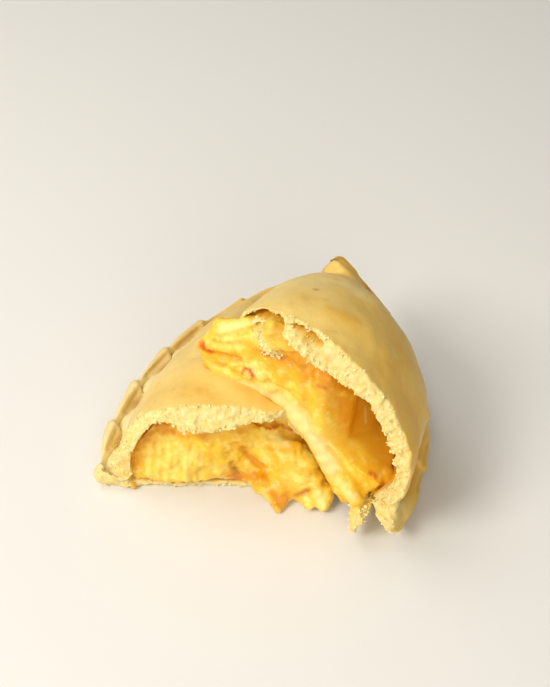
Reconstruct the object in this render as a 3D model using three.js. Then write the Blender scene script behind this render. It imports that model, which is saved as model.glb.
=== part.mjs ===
// A baked half-moon turnover torn in two. The longer half lies flat on its base with the torn side to the
// front; the shorter half leans on it with its crimped edge down. Each half is a dough crust and its filling.
// Lengths are in millimetres, angles in degrees, +Z is up.

import * as THREE from 'three';
import { LoftGeometry } from 'three/addons/geometries/LoftGeometry.js';

// The pressed rim and its crimps, the same in both halves
const HORN_RIM_WIDTH = 4.5;
const HORN_TAPER = 0.7; // where the rim starts to narrow on its way to the horn
const RIM_EDGE_HEIGHT = 3;
const RIM_ROUNDING = 0.65; // share of the rim's underside that curves up to its edge
const VALLEY_HEIGHT = 4.2; // of the rim where it meets the dome
const RIM_FILL_END = 0.16; // where a filled rim ends, as a share of the way to the horn
const STRIP_HEIGHT = 0.5; // swelling of the flat strip between the dome and the crimps
const CREASE_DEPTH = 0.9;
const CRIMP_PITCH = 13.1;
const CRIMP_REACH = 1.25;
const CRIMP_HEIGHT = 2.3;
const CRIMP_LOW = 0.5; // share of that height left between two crimps
const CRIMP_WIDE = 0.75; // where a crimp, which widens slowly, has its full width
const CRIMP_TIP = 0.87; // place of its tip, where it steps back fast
const CRIMP_CREASE = 0.75; // place of the crease across the rim at the narrow end of a crimp
const CRIMP_SPREAD = 0.37; // how much wider a crimp gets
const HORN_LIFT = 0.35; // share of a crimp's height left at the horn
const CRIMP_FADE = 0.86; // where the crimps start to fade on their way to the horn
const HORN_ROUNDING = 2.2;
const CRIMP_CALM_END = 0.42; // where crimps that are pressed flat at the tear have their full height
const NECK_PLACE = 0.72; // of the dip before the horn, as a share of the way to it
const NECK_SPREAD = 0.22;

// The base, the torn edge and the filling, the same in both halves
const SAG_PLACES = [0.16, 0.84];
const SAG_SPREAD = 0.165;
const SAG_END = 0.6;
const PEEL_SPREAD = 0.17;
const PEEL_END = 0.22;
const FLAP_PLACE = 0.17; // of a flap of crumb along the torn edge
const FLAP_SPREAD = 0.13;
const SWELL_END = 0.2; // how far the base is swollen, as a share of the way to the horn
const TEAR_DEPTH = 9; // how deep the unevenness of the tear goes
const TEAR_RAGGED = 0.6;
const INNER_EDGE = 0.4; // how far the inside of the torn dough stands out
const LEAN_RISE = [0.1, 0.5]; // where the torn edge starts to lean out and fully does, from fold to valley
const RIM_SIDE = [0.66, 0.85]; // where the dough gets thinner towards the rim
const SKIN_SIDE = [0.7, 0.9]; // where the skin is torn back over the rim
const SKIN_PLACE = [0.9, 0.1]; // where the skin stands out over the crumb, middle and spread
const SKIN_END = [-10, -8]; // where that ends on the rim, in ring points from the start of the base
const TUCK_END = [0.1, 0.26]; // where the edge that is tucked in at the fold ends
const TUCK_START = [13, 15]; // where it starts on the base, in ring points
const TOOTH_PLACE = [1, 0.65]; // middle and spread, in ring points from the start of the base
const NOTCH_PLACE = [-2, 1.5];
const CORNER_PLACE = [-7, 4];
const RIM_END_PLACE = [-6, 2.4];
const NUB_PLACE = [-7, 3];
const FOLD_PLACE = [14, 1.4];
const LIP_DEPTHS = [0.3, 0.52, 0.75]; // across the torn dough, from its outside to the hollow
const LIP_SPLIT = 0.12; // width of the split at the middle one of these
const LIP_BULGE = 0.5;
const LIP_RAGGED = 0.35;
const FILLING_GAP = 0.55;
const FILLING_RECESS = 2; // of the filling under the dome
const FILLING_DROP = 1.4; // of the filling below the dome at the tear
const DROP_END = 0.1; // where this drop ends, as a share of the way to the horn
const SLUMPED_FILLING = 4.4; // height of the slumped filling over the base
const FACE_LUMPS = 0.7;
const FACE_MIDDLE = 0.45; // of the torn face, as a share of the width
const FACE_TIP = 0.3; // how far that middle stands out

// The half that lies flat
const LYING = {
  reach: 62.8, // from the tear to the horn
  width: 50.7, // from the fold to the rim, along the tear
  height: 26.4, // of the dome at the tear
  hornHeight: 6,
  hornNeck: 4, // dough behind the rim at the horn
  hook: 6, // how far the fold bends to the rim at the horn
  bow: 1.46, // over 1 straightens the rim, under 1 rounds it out
  slope: 1.6, // how soon the dome falls towards the horn
  crest: 0.55, // place of the crest, as a share of the way from the fold to the valley
  noseHeight: 0.2, // of the fold's round edge, as a share of the dome
  noseDepth: 0.12, // of that edge, as a share of the way to the valley
  foldSide: 0.18, // fullness of the dome on the side of the fold, fuller when smaller
  rimSide: [0.37, 1.6], // the same on the side of the rim, at the tear and at the horn
  topThickness: 3.2,
  foldThin: 0.25, // share of that thickness left at the fold
  rimThin: 0.45, // and at the rim
  leanFall: [0.62, 0.82], // where the torn edge leans out less and no more
  baseThickness: 1.5,
  foldThickness: 3,
  rimThickness: 2.4,
  rimWidth: 6,
  rimFill: 0, // how far the valley is filled at the tear
  neck: 0, // depth of the dip before the horn
  skinBack: 2, // how far the skin is torn back over the rim
  foldTuck: 3, // how far the torn edge is tucked in at the fold
  skinOut: 0, // how far the skin stands out over the crumb near the rim
  cornerBack: 0, // how far the hollow's corner at the rim stands back
  crimpCalm: 0, // share of the crimps that is pressed flat at the tear
  crimpStart: 1, // where the first crimp starts along the rim
  crimpTurn: 1, // which way the crimps point
  cavityEnd: 0.78, // end of the hollow, as a share of the way to the horn
  sag: [0, 0], // how far the base hangs down near the fold and near the rim
  peel: 1.8, // extra dough over the filling at the tear
  peelPlace: 0.62, // of that dough along the torn edge
  flap: 0, // how far a flap of crumb stands out
  swell: 0, // extra thickness of the base at the tear
  baseBulge: 0.3, // roundness of the torn edge of the base
  nub: 0.8, // roundness of the torn end of the rim
  split: 0, // depth of the split between two layers of the torn edge
  slump: 0, // 1 where the filling has slumped and left a hollow
  faceHeight: 8, // of the middle of the filling's torn face
  lipSlant: 3.2, // how far the torn edge leans out at its inside
  foldBack: 0, // how far the dough is torn back at the fold
  tooth: [0, 0], // how far a tooth of the base stands out of the tear and bends to the rim
  notch: 0, // depth of the notch beside the tooth
  rimEnd: 0, // how far the torn end of the rim stands out
  seed: 2,
};

// The half that leans on it
const LEANING = {
  reach: 42.5,
  width: 57,
  height: 27.5,
  hornHeight: 8,
  hornNeck: 4,
  hook: 8.1,
  bow: 0.94,
  slope: 1.18,
  crest: 0.46,
  noseHeight: 0.4,
  noseDepth: 0.18,
  foldSide: 0.5,
  rimSide: [0.35, 0.35],
  topThickness: 3,
  foldThin: 0.9,
  rimThin: 1,
  leanFall: [0.85, 1],
  baseThickness: 2.4,
  foldThickness: 3,
  rimThickness: 1.5,
  rimWidth: 8.5,
  rimFill: 7,
  neck: 3.2,
  skinBack: 0,
  foldTuck: 0,
  skinOut: 1.5,
  cornerBack: 4,
  crimpCalm: 0.8,
  crimpStart: 5,
  crimpTurn: -1,
  cavityEnd: 0.74,
  sag: [3.4, 3],
  peel: 3,
  peelPlace: 0.33,
  flap: 4.2,
  swell: 2,
  baseBulge: 0.7,
  nub: 2.2,
  split: 4.5,
  slump: 1,
  faceHeight: 4.2,
  lipSlant: 1.6,
  foldBack: 4.5,
  tooth: [5, 2.8],
  notch: 5.5,
  rimEnd: 3.2,
  seed: 7,
};

// Where the tear of each half meets its fold, and how the half is turned
const LYING_PLACE = { x: 10.9, y: -44, z: 0, yaw: 0, roll: 0, pitch: 0, side: -1 };
const LEANING_PLACE = { x: -12.8, y: -30.9, z: 32.9, yaw: 34.8, roll: 36.1, pitch: -5.8, side: 1 };
const REST_GAP = 0.7;
const PRESS_START = 1; // height over which the lying half starts to give way
const PRESS_EDGE = [-5.5, -2.5]; // where it starts to and where it fully does, from the other's tear
const MOST_PRESSED = 0.3;

// Number of points along each part of a ring, and of rings along each half
const DOME_POINTS = 16;
const STRIP_POINTS = 3;
const PETAL_POINTS = 5;
const UNDER_POINTS = 4;
const BASE_POINTS = 15;
const RING_SPACING = 2.05;
const CAVITY_RINGS = 10;
const CAVITY_SPREAD = 1.6; // over 1 puts these rings closer together at the tear
const FACE_RINGS = 9;
const FACE_START = 0.014;
const HORN_RINGS = 4;
const HORN_TURN = 0.36;
const CLOSING_SIZE = 0.5;

// What spills from each half: its place on the torn face, its spread, its push out, to the rim and up
const LYING_BULGES = [
  { at: [20, 6.5], size: [16, 8], push: [2.6, 0, -0.4] },
  { at: [11.2, 3.2], size: [2.8, 2.6], push: [9.6, -1, -1.8] },
  { at: [6, 4.4], size: [1.5, 2.4], push: [9, -2.4, -2.4] },
  { at: [4.3, 7], size: [1.5, 2.6], push: [9.6, -7, -5] },
  { at: [34, 4], size: [8, 4], push: [2, 0, 0] },
];
const LEANING_BULGES = [
  { at: [5, 6.5], size: [5, 4.5], push: [7, -14, -2] },
  { at: [16, 8], size: [10, 8], push: [3.4, 0, 1] },
  { at: [36, 3], size: [10, 4], push: [1.2, 0, 0] },
];

const clamp = (v, lo, hi) => Math.min(hi, Math.max(lo, v));
const mix = (p, q, t) => p + (q - p) * t;

function smooth(lo, hi, v) {
  const t = clamp((v - lo) / (hi - lo), 0, 1);
  return t * t * (3 - 2 * t);
}

function bell(v) {
  return Math.exp(-v * v);
}

// 1 at a place, less beside it
function near(v, [place, spread]) {
  return bell((v - place) / spread);
}

// A repeatable uneven number from -1 to 1
function uneven(seed, n) {
  const v = Math.sin(seed * 127.1 + n * 311.7) * 43758.5453;
  return 2 * (v - Math.floor(v)) - 1;
}

// Turns a half from its own axes (tear to horn, fold to rim, up) to its place
function placing(place) {
  const radians = (v) => THREE.MathUtils.degToRad(v);
  const along = new THREE.Vector3(0, 1, 0);
  const across = new THREE.Vector3(place.side, 0, 0);
  const up = new THREE.Vector3(0, 0, 1);
  const rolled = across.clone().multiplyScalar(Math.cos(radians(place.roll)));
  rolled.addScaledVector(up, -Math.sin(radians(place.roll)));
  const rolledUp = up.clone().multiplyScalar(Math.cos(radians(place.roll)));
  rolledUp.addScaledVector(across, Math.sin(radians(place.roll)));
  const pitched = along.clone().multiplyScalar(Math.cos(radians(place.pitch)));
  pitched.addScaledVector(rolledUp, Math.sin(radians(place.pitch)));
  const pitchedUp = rolledUp.clone().multiplyScalar(Math.cos(radians(place.pitch)));
  pitchedUp.addScaledVector(along, -Math.sin(radians(place.pitch)));
  const turn = new THREE.Matrix4().makeRotationZ(-radians(place.yaw));
  const axes = new THREE.Matrix4().makeBasis(pitched, rolled, pitchedUp);
  return new THREE.Matrix4().makeTranslation(place.x, place.y, place.z).multiply(turn).multiply(axes);
}

const lyingMatrix = placing(LYING_PLACE);
const leaningMatrix = placing(LEANING_PLACE);
const leaningInverse = leaningMatrix.clone().invert();

// Fold, valley and rim of a half in plan, at a from 0 at the tear to 1 at the horn
function plan(half, a) {
  const turn = a * Math.PI / 2;
  const sx = Math.sin(turn);
  const cx = Math.max(Math.cos(turn), 0);
  const rim = new THREE.Vector2(half.reach * sx, half.hook * sx * sx + half.width * Math.pow(cx, half.bow));
  const out = new THREE.Vector2(sx / half.reach, cx / half.width).normalize();
  const rimWidth = mix(half.rimWidth, HORN_RIM_WIDTH, smooth(HORN_TAPER, 1, a));
  const valley = rim.clone().addScaledVector(out, -rimWidth);
  const fold = new THREE.Vector2((half.reach - HORN_RIM_WIDTH - half.hornNeck) * sx, half.hook * sx * sx);
  return { fold, valley, rim, out };
}

// Steps along a half that are even along its rim
function rimSteps(half, spacing) {
  const fine = 600;
  const length = [0];
  for (let i = 1; i <= fine; i++) {
    const step = plan(half, i / fine).rim.distanceTo(plan(half, (i - 1) / fine).rim);
    length.push(length[i - 1] + step);
  }
  const count = Math.round(length[fine] / spacing);
  const steps = [];
  let k = 0;
  for (let i = 0; i <= count; i++) {
    const along = length[fine] * i / count;
    while (k < fine && length[k + 1] < along) k++;
    const t = k < fine ? (along - length[k]) / (length[k + 1] - length[k]) : 0;
    steps.push({ a: Math.min((k + t) / fine, 1), along });
  }
  return steps;
}

// Height of the crest of the dome, with a dip before the horn
function crestHeight(half, a) {
  const c = Math.pow(Math.max(Math.cos(a * Math.PI / 2), 0), half.slope);
  return mix(half.hornHeight, half.height, c) - half.neck * near(a, [NECK_PLACE, NECK_SPREAD]);
}

// Height of the rim where it meets the dome
function valleyHeight(half, a) {
  return VALLEY_HEIGHT + half.rimFill * (1 - smooth(0, RIM_FILL_END, a));
}

// Height of the dome at q from 0 at the fold to 1 at the valley
function domeHeight(half, a, q, top, nose, valley) {
  if (q < half.crest) {
    const rise = Math.cos(Math.PI / 2 * (half.crest - q) / half.crest);
    return mix(nose, top, Math.pow(Math.max(rise, 0), half.foldSide));
  }
  const fall = Math.cos(Math.PI / 2 * (q - half.crest) / (1 - half.crest));
  return mix(valley, top, Math.pow(Math.max(fall, 0), mix(half.rimSide[0], half.rimSide[1], a)));
}

// How far the base hangs down, near the fold and near the rim
function baseSag(half, a, q) {
  const [atFold, atRim] = SAG_PLACES.map((place, k) => half.sag[k] * near(q, [place, SAG_SPREAD]));
  return (atFold + atRim) * (1 - smooth(0, SAG_END, a));
}

// Height of the base at q, rounded up into the fold
function baseHeight(half, a, q, nose, floor) {
  const t = clamp((half.noseDepth - q) / half.noseDepth, 0, 1);
  return floor + (nose - floor) * (1 - Math.sqrt(1 - t * t)) - baseSag(half, a, q);
}

// Places along the dome and along the base, closer together at both ends
function domePlace(i) {
  return (1 - Math.cos(Math.pow(i / DOME_POINTS, 0.9) * Math.PI)) / 2;
}

function basePlace(i) {
  return (1 + Math.cos(i / BASE_POINTS * Math.PI)) / 2;
}

// One crimp: how far it stands out, how high its petal is and where its crease lies across the rim
function crimp(half, a, along) {
  const calm = half.crimpCalm * (1 - smooth(0, CRIMP_CALM_END, a));
  const left = (1 - smooth(CRIMP_FADE, 1, a)) * (1 - calm);
  const turns = half.crimpTurn * (along - half.crimpStart) / CRIMP_PITCH;
  const u = turns - Math.floor(turns);
  const stand = (u < CRIMP_TIP ? Math.pow(u / CRIMP_TIP, 0.75) : (1 - u) / (1 - CRIMP_TIP)) - 0.7;
  const wide = smooth(0, CRIMP_WIDE, u) * (1 - smooth(CRIMP_TIP, 1, u));
  const lift = mix(CRIMP_LOW, 1, wide);
  const crease = CRIMP_CREASE - CRIMP_SPREAD * mix(1, wide, left);
  const depth = CREASE_DEPTH * left;
  return { out: CRIMP_REACH * stand * left, lift: mix(HORN_LIFT, lift, left), crease, depth };
}

// Raggedness of the torn edge at ring point j
function ragged(half, layer, j) {
  const wave = 0.7 * Math.sin(j * 0.55 + half.seed) + 0.4 * Math.sin(j * 1.3 + 2 * half.seed + layer);
  return wave + 0.7 * uneven(half.seed + layer * 3, j);
}

// How far a point has to go down to clear the base of the leaning half
function pressedBy(p) {
  const local = p.clone().applyMatrix4(leaningInverse);
  const reach = LEANING.reach - HORN_RIM_WIDTH - LEANING.hornNeck;
  const a = Math.asin(clamp(local.x / reach, 0, 1)) * 2 / Math.PI;
  const { fold, valley } = plan(LEANING, a);
  const q = (local.y - fold.y) / Math.max(valley.y - fold.y, 1);
  const nose = LEANING.noseHeight * crestHeight(LEANING, a);
  const base = q < 0 ? nose - LEANING.width * q : baseHeight(LEANING, a, Math.min(q, 1), nose, 0);
  const over = clamp(local.z - base + REST_GAP, -PRESS_START, Infinity);
  const press = over > PRESS_START ? over : (over + PRESS_START) ** 2 / (4 * PRESS_START);
  const fade = smooth(...PRESS_EDGE, local.x);
  return press * fade / Math.cos(THREE.MathUtils.degToRad(LEANING_PLACE.roll));
}

// The soft dome of the lying half gives way under the other: the share of its height that is left
function settled(half, a, q) {
  if (half !== LYING) return 1;
  const { fold, valley } = plan(half, a);
  const crest = crestHeight(half, a);
  const top = domeHeight(half, a, q, crest, half.noseHeight * crest, valleyHeight(half, a));
  const at = fold.clone().lerp(valley, q);
  const press = pressedBy(new THREE.Vector3(at.x, at.y, top).applyMatrix4(lyingMatrix));
  return Math.max(1 - press / top, MOST_PRESSED);
}

// One ring round the outside of a half: over the dome, over the crimped rim, back along the base
function outerRing(half, step) {
  const { a, along } = step;
  const { fold, valley, rim, out } = plan(half, a);
  const top = crestHeight(half, a);
  const nose = half.noseHeight * top;
  const low = valleyHeight(half, a);
  const ring = [];
  const add = (p, z) => ring.push(new THREE.Vector3(p.x, p.y, z));
  for (let i = 0; i < DOME_POINTS; i++) {
    const q = domePlace(i);
    const z = domeHeight(half, a, q, top, nose, low) * settled(half, a, q);
    add(fold.clone().lerp(valley, q), z);
  }
  const { out: stand, lift, crease, depth } = crimp(half, a, along);
  const edge = rim.clone().addScaledVector(out, stand);
  const groove = mix(low, RIM_EDGE_HEIGHT, crease) - depth;
  for (let i = 0; i < STRIP_POINTS; i++) {
    const t = i / STRIP_POINTS;
    const z = mix(low, groove, t) + STRIP_HEIGHT * Math.sin(Math.PI * t);
    add(valley.clone().lerp(edge, crease * t), z);
  }
  for (let i = 0; i < PETAL_POINTS; i++) {
    const t = i / PETAL_POINTS;
    const bump = Math.pow(Math.sin(Math.PI * t), 0.7) * CRIMP_HEIGHT * lift;
    add(valley.clone().lerp(edge, mix(crease, 1, t)), mix(groove, RIM_EDGE_HEIGHT, t) + bump);
  }
  for (let i = 0; i < UNDER_POINTS; i++) {
    const f = 1 - i / UNDER_POINTS;
    const t = clamp((f - 1 + RIM_ROUNDING) / RIM_ROUNDING, 0, 1);
    const droop = baseSag(half, a, 1) * (1 - f);
    add(valley.clone().lerp(edge, f), RIM_EDGE_HEIGHT * (1 - Math.sqrt(1 - t * t)) - droop);
  }
  for (let i = 0; i < BASE_POINTS; i++) {
    const q = basePlace(i);
    add(fold.clone().lerp(valley, q), baseHeight(half, a, q, nose, 0) * settled(half, a, q));
  }
  return ring;
}

// Thickness of the dough over the filling; a peeled layer thickens it beside the tear
function topThickness(half, a, q) {
  const peeled = half.peel * bell((q - half.peelPlace) / PEEL_SPREAD) * (1 - smooth(0.02, PEEL_END, a));
  const thin = mix(half.foldThin, 1, smooth(...LEAN_RISE, q)) * mix(1, half.rimThin, smooth(...RIM_SIDE, q));
  return half.topThickness * thin + peeled;
}

// One ring round the hollow inside the dough, drawn in by a gap
function innerRing(half, a, gap) {
  const { fold, valley } = plan(half, a);
  const crest = crestHeight(half, a);
  const length = fold.distanceTo(valley);
  const floor = half.baseThickness + gap + half.swell * (1 - smooth(0, SWELL_END, a));
  const foldWall = half.foldThickness + gap;
  const rimWall = half.rimThickness + gap;
  const room = Math.max(crest - half.topThickness - half.baseThickness, 1.5);
  const nose = floor + half.noseHeight * room;
  const low = half.baseThickness - gap + Math.min(2.2, 0.4 * room);
  const across = (q) => fold.clone().lerp(valley, (foldWall + q * (length - foldWall - rimWall)) / length);
  const ring = [];
  const add = (p, z) => ring.push(new THREE.Vector3(p.x, p.y, z));
  for (let i = 0; i < DOME_POINTS; i++) {
    const q = domePlace(i);
    const left = settled(half, a, q);
    const top = Math.max(crest - topThickness(half, a, q) - gap * (4 - 3 * left), floor + 1.2);
    add(across(q), domeHeight(half, a, q, Math.max(top, nose), nose, low) * left);
  }
  const round = STRIP_POINTS + PETAL_POINTS + UNDER_POINTS;
  for (let i = 0; i < round; i++) {
    const t = i / round;
    const p = across(1 + 0.9 * Math.sin(Math.PI * t) / length);
    add(p, mix(low, floor, t) - baseSag(half, a, 1) * t);
  }
  for (let i = 0; i < BASE_POINTS; i++) {
    const q = basePlace(i);
    add(across(q), baseHeight(half, a, q, nose, floor) * settled(half, a, q));
  }
  return ring;
}

// Places along the hollow: the tear, the edge of the filling's face, then evenly deeper
function cavityPlace(half, i) {
  if (i < 0) return 0;
  return i > 0 ? half.cavityEnd * Math.pow(i / CAVITY_RINGS, CAVITY_SPREAD) : FACE_START;
}

// The place across the dome of ring point j, or -1 where the point is on the rim or the base
function ringDome(j) {
  return j < DOME_POINTS ? domePlace(j) : -1;
}

// How far ring point j is past the start of the base; negative on the rim
function basePoint(j) {
  return j - (DOME_POINTS + STRIP_POINTS + PETAL_POINTS + UNDER_POINTS);
}

// The torn edge leans out at the inside of the dome, so that the crumb shows from above. The lying half is
// tucked in at its fold, under the other. The leaning half is torn back at its fold; at its rim a tooth of
// the base and the rim's end stand out, a notch between them.
function tearShift(half, j, layer, depth) {
  const q = ringDome(j);
  const lean = half.lipSlant * smooth(...LEAN_RISE, q) * (1 - smooth(...half.leanFall, q));
  const slant = q >= 0 ? lean + half.flap * bell((q - FLAP_PLACE) / FLAP_SPREAD) : 0;
  const base = basePoint(j);
  const skin = q >= 0 ? smooth(...SKIN_SIDE, q) : 1 - smooth(...SKIN_END, base);
  const tuck = q >= 0 ? 1 - smooth(...TUCK_END, q) : smooth(...TUCK_START, base);
  const corner = half.cornerBack * near(base, CORNER_PLACE) * depth;
  const skinShift = half.skinBack * skin - half.skinOut * near(q, SKIN_PLACE);
  const back = skinShift * (1 - depth) + half.foldTuck * tuck + corner;
  const tooth = half.tooth[0] * near(base, TOOTH_PLACE);
  const notch = half.notch * near(base, NOTCH_PLACE);
  const rimEnd = half.rimEnd * near(base, RIM_END_PLACE);
  const foldBack = half.foldBack * near(base, FOLD_PLACE);
  const crumb = ragged(half, layer, j) * TEAR_RAGGED - (slant + INNER_EDGE) * depth;
  return crumb + back + foldBack + notch - tooth - rimEnd;
}

// Moves a point of the crust by the unevenness of the tear, less the deeper it lies
function tear(half, p, j, layer, depth) {
  const left = 1 - smooth(0, TEAR_DEPTH, p.x);
  p.x += tearShift(half, j, layer, depth) * left;
  p.y += half.tooth[1] * near(basePoint(j), TOOTH_PLACE) * left;
}

// A small round ring that closes an end, its points spread as those of the ring before it
function closingRing(ring, centre, size) {
  const total = ring.reduce((sum, p, j) => sum + p.distanceTo(ring[(j + 1) % ring.length]), 0);
  const start = ring[0].clone().sub(centre);
  const middle = ring[Math.round(DOME_POINTS / 2)].clone().sub(centre);
  const normal = start.clone().cross(middle).normalize();
  const right = start.clone().normalize();
  const up = normal.clone().cross(right);
  let walked = 0;
  return ring.map((p, j) => {
    const turn = (walked / total + j / ring.length) * Math.PI;
    walked += p.distanceTo(ring[(j + 1) % ring.length]);
    const point = centre.clone().addScaledVector(right, size * Math.cos(turn));
    return point.addScaledVector(up, size * Math.sin(turn));
  });
}

// The middle of an end ring, moved on from the ring before, or back to it when ahead is negative
function pastMiddle(ring, before, ahead) {
  const middle = middleOf(ring);
  const way = middle.clone().sub(middleOf(before)).normalize();
  return middle.addScaledVector(way, ahead);
}

function middleOf(ring) {
  return ring.reduce((sum, p) => sum.add(p), new THREE.Vector3()).divideScalar(ring.length);
}

// The crust: from the horn over the outside to the tear, over the torn edge and back along the hollow
function crustRings(half) {
  const steps = rimSteps(half, RING_SPACING);
  const rings = steps.map((step) => outerRing(half, step));
  for (const ring of rings) {
    ring.forEach((p, j) => tear(half, p, j, 1, 0));
  }
  const last = rings[rings.length - 1];
  const centre = middleOf(last);
  const tip = centre.clone().add(new THREE.Vector3(0, -HORN_ROUNDING, 0));
  const horn = [closingRing(last, tip, CLOSING_SIZE)];
  for (let i = HORN_RINGS; i >= 1; i--) {
    const turn = i * HORN_TURN;
    const shrink = Math.cos(turn);
    const move = new THREE.Vector3(0, -HORN_ROUNDING * Math.sin(turn), 0);
    horn.push(last.map((p) => p.clone().sub(centre).multiplyScalar(shrink).add(centre).add(move)));
  }
  const inner = [];
  for (let i = -1; i <= CAVITY_RINGS; i++) {
    const ring = innerRing(half, cavityPlace(half, i), 0);
    ring.forEach((p, j) => tear(half, p, j, 2, 1));
    inner.push(ring);
  }
  const lip = LIP_DEPTHS.map((depth, k) => rings[0].map((p, j) => {
    const q = ringDome(j);
    const point = p.clone().lerp(inner[0][j], depth);
    const within = bell((depth - LIP_DEPTHS[1]) / LIP_SPLIT);
    const open = q >= 0 ? bell((q - half.peelPlace) / PEEL_SPREAD) * within : 0;
    const end = half.nub * near(basePoint(j), NUB_PLACE) + half.baseBulge * smooth(0, 2, basePoint(j));
    const bulge = (LIP_BULGE + end) * Math.sqrt(Math.sin(Math.PI * depth));
    point.x += half.split * open - bulge + ragged(half, 3 + k, j) * LIP_RAGGED;
    return point;
  }));
  const [before, deep] = inner.slice(-2);
  inner.push(closingRing(deep, pastMiddle(deep, before, -1), CLOSING_SIZE));
  return [...horn, ...rings.reverse(), ...lip, ...inner];
}

// How high the filling stands: in the leaning half it has slumped from the rim side and left a hollow
function fillingTop(half, a, q) {
  const slump = half.slump * smooth(0.3, 0.62, q) * (1 - smooth(0.35, 0.62, a));
  return mix(half.height, half.baseThickness + SLUMPED_FILLING, slump);
}

// The filling: from deep in the hollow to the tear, and over its uneven torn face
function fillingRings(half, bulges) {
  const rings = [];
  for (let i = CAVITY_RINGS - 1; i >= 0; i--) {
    const a = cavityPlace(half, i);
    const ring = innerRing(half, a, FILLING_GAP);
    ring.forEach((p, j) => {
      const q = ringDome(j);
      const under = smooth(0, 0.15, q) * (1 - smooth(0.8, 1, q));
      const recess = i === 0 && q >= 0 ? FILLING_RECESS * under : 0;
      const drop = q >= 0 ? FILLING_DROP * under * (1 - smooth(0, DROP_END, a)) : 0;
      p.x += tearShift(half, j, 2, 1) * (1 - smooth(0, TEAR_DEPTH, p.x)) + recess;
      if (q >= 0) p.z = Math.min(p.z, fillingTop(half, a, q)) - drop;
    });
    rings.push(ring);
  }
  rings.unshift(closingRing(rings[0], pastMiddle(rings[0], rings[1], 0.5), CLOSING_SIZE));
  const edge = rings[rings.length - 1];
  const centre = new THREE.Vector3(FILLING_RECESS, half.width * FACE_MIDDLE, half.faceHeight);
  for (let k = 1; k <= FACE_RINGS; k++) {
    const r = 1 - Math.pow(k / (FACE_RINGS + 0.6), 1.3);
    const free = 1 - Math.pow(r, 14);
    rings.push(edge.map((p, j) => {
      const point = p.clone().lerp(centre, 1 - r);
      const lump = FACE_LUMPS * free * Math.sin(0.8 * point.y + half.seed) * Math.sin(0.9 * point.z);
      const moved = point.clone();
      for (const { at, size, push } of bulges) {
        const w = free * bell((point.y - at[0]) / size[0]) * bell((point.z - at[1]) / size[1]);
        moved.add(new THREE.Vector3(-push[0] * w, push[1] * w * w, push[2] * w * w));
      }
      moved.x += lump;
      return moved;
    }));
  }
  const tip = middleOf(rings[rings.length - 2]).x - FACE_TIP;
  rings[rings.length - 1].forEach((p) => {
    p.x = tip;
  });
  return rings;
}

// A half is flattened where it touches the ground
function solid(name, rings, matrix, flip, colour, roughness) {
  const sections = rings.map((ring) => ring.map((p) => {
    const placed = p.clone().applyMatrix4(matrix);
    placed.z = Math.max(placed.z, 0);
    return placed;
  }));
  if (flip) sections.forEach((ring) => ring.reverse());
  const geometry = new LoftGeometry(sections, { closed: true, capStart: true, capEnd: true });
  const material = new THREE.MeshStandardMaterial({ color: colour, roughness, metalness: 0 });
  const mesh = new THREE.Mesh(geometry, material);
  mesh.name = name;
  return mesh;
}

const CRUST = [0xe0b670, 0.6];
const CHEESE = [0xe8b33c, 0.35];
const pieces = [
  solid('lying_crust', crustRings(LYING), lyingMatrix, false, ...CRUST),
  solid('lying_filling', fillingRings(LYING, LYING_BULGES), lyingMatrix, false, ...CHEESE),
  solid('leaning_crust', crustRings(LEANING), leaningMatrix, true, ...CRUST),
  solid('leaning_filling', fillingRings(LEANING, LEANING_BULGES), leaningMatrix, true, ...CHEESE),
];

// The middle of the underside is the origin
const box = new THREE.Box3();
for (const piece of pieces) {
  piece.geometry.computeBoundingBox();
  box.union(piece.geometry.boundingBox);
}
const middle = box.getCenter(new THREE.Vector3());
const empanada = new THREE.Group();
empanada.name = 'empanada';
for (const piece of pieces) {
  piece.geometry.translate(-middle.x, -middle.y, -box.min.z);
  empanada.add(piece);
}

export default empanada;
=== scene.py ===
import math
from functools import reduce
from types import SimpleNamespace

import bmesh
import bpy
import numpy as np
from mathutils import Matrix, Vector, noise
from mathutils.bvhtree import BVHTree


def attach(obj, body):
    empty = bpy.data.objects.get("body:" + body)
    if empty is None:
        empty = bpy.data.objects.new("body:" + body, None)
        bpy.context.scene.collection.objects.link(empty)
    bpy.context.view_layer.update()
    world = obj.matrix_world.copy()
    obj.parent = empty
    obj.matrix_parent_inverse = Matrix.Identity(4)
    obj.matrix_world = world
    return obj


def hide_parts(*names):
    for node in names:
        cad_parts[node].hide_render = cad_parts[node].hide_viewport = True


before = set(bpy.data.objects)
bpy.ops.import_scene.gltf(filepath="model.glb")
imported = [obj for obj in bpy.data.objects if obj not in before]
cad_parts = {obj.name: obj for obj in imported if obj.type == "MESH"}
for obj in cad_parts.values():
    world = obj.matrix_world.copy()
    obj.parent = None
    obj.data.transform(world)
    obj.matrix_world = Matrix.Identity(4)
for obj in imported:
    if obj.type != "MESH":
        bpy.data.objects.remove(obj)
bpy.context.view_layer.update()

# Table, light and camera
# The empanada lies on a plain pale table in soft light from the front left. The camera looks down on it at
# 45 degrees, as in the photograph; a pixel of the photograph is a line of sight from that camera.

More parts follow.
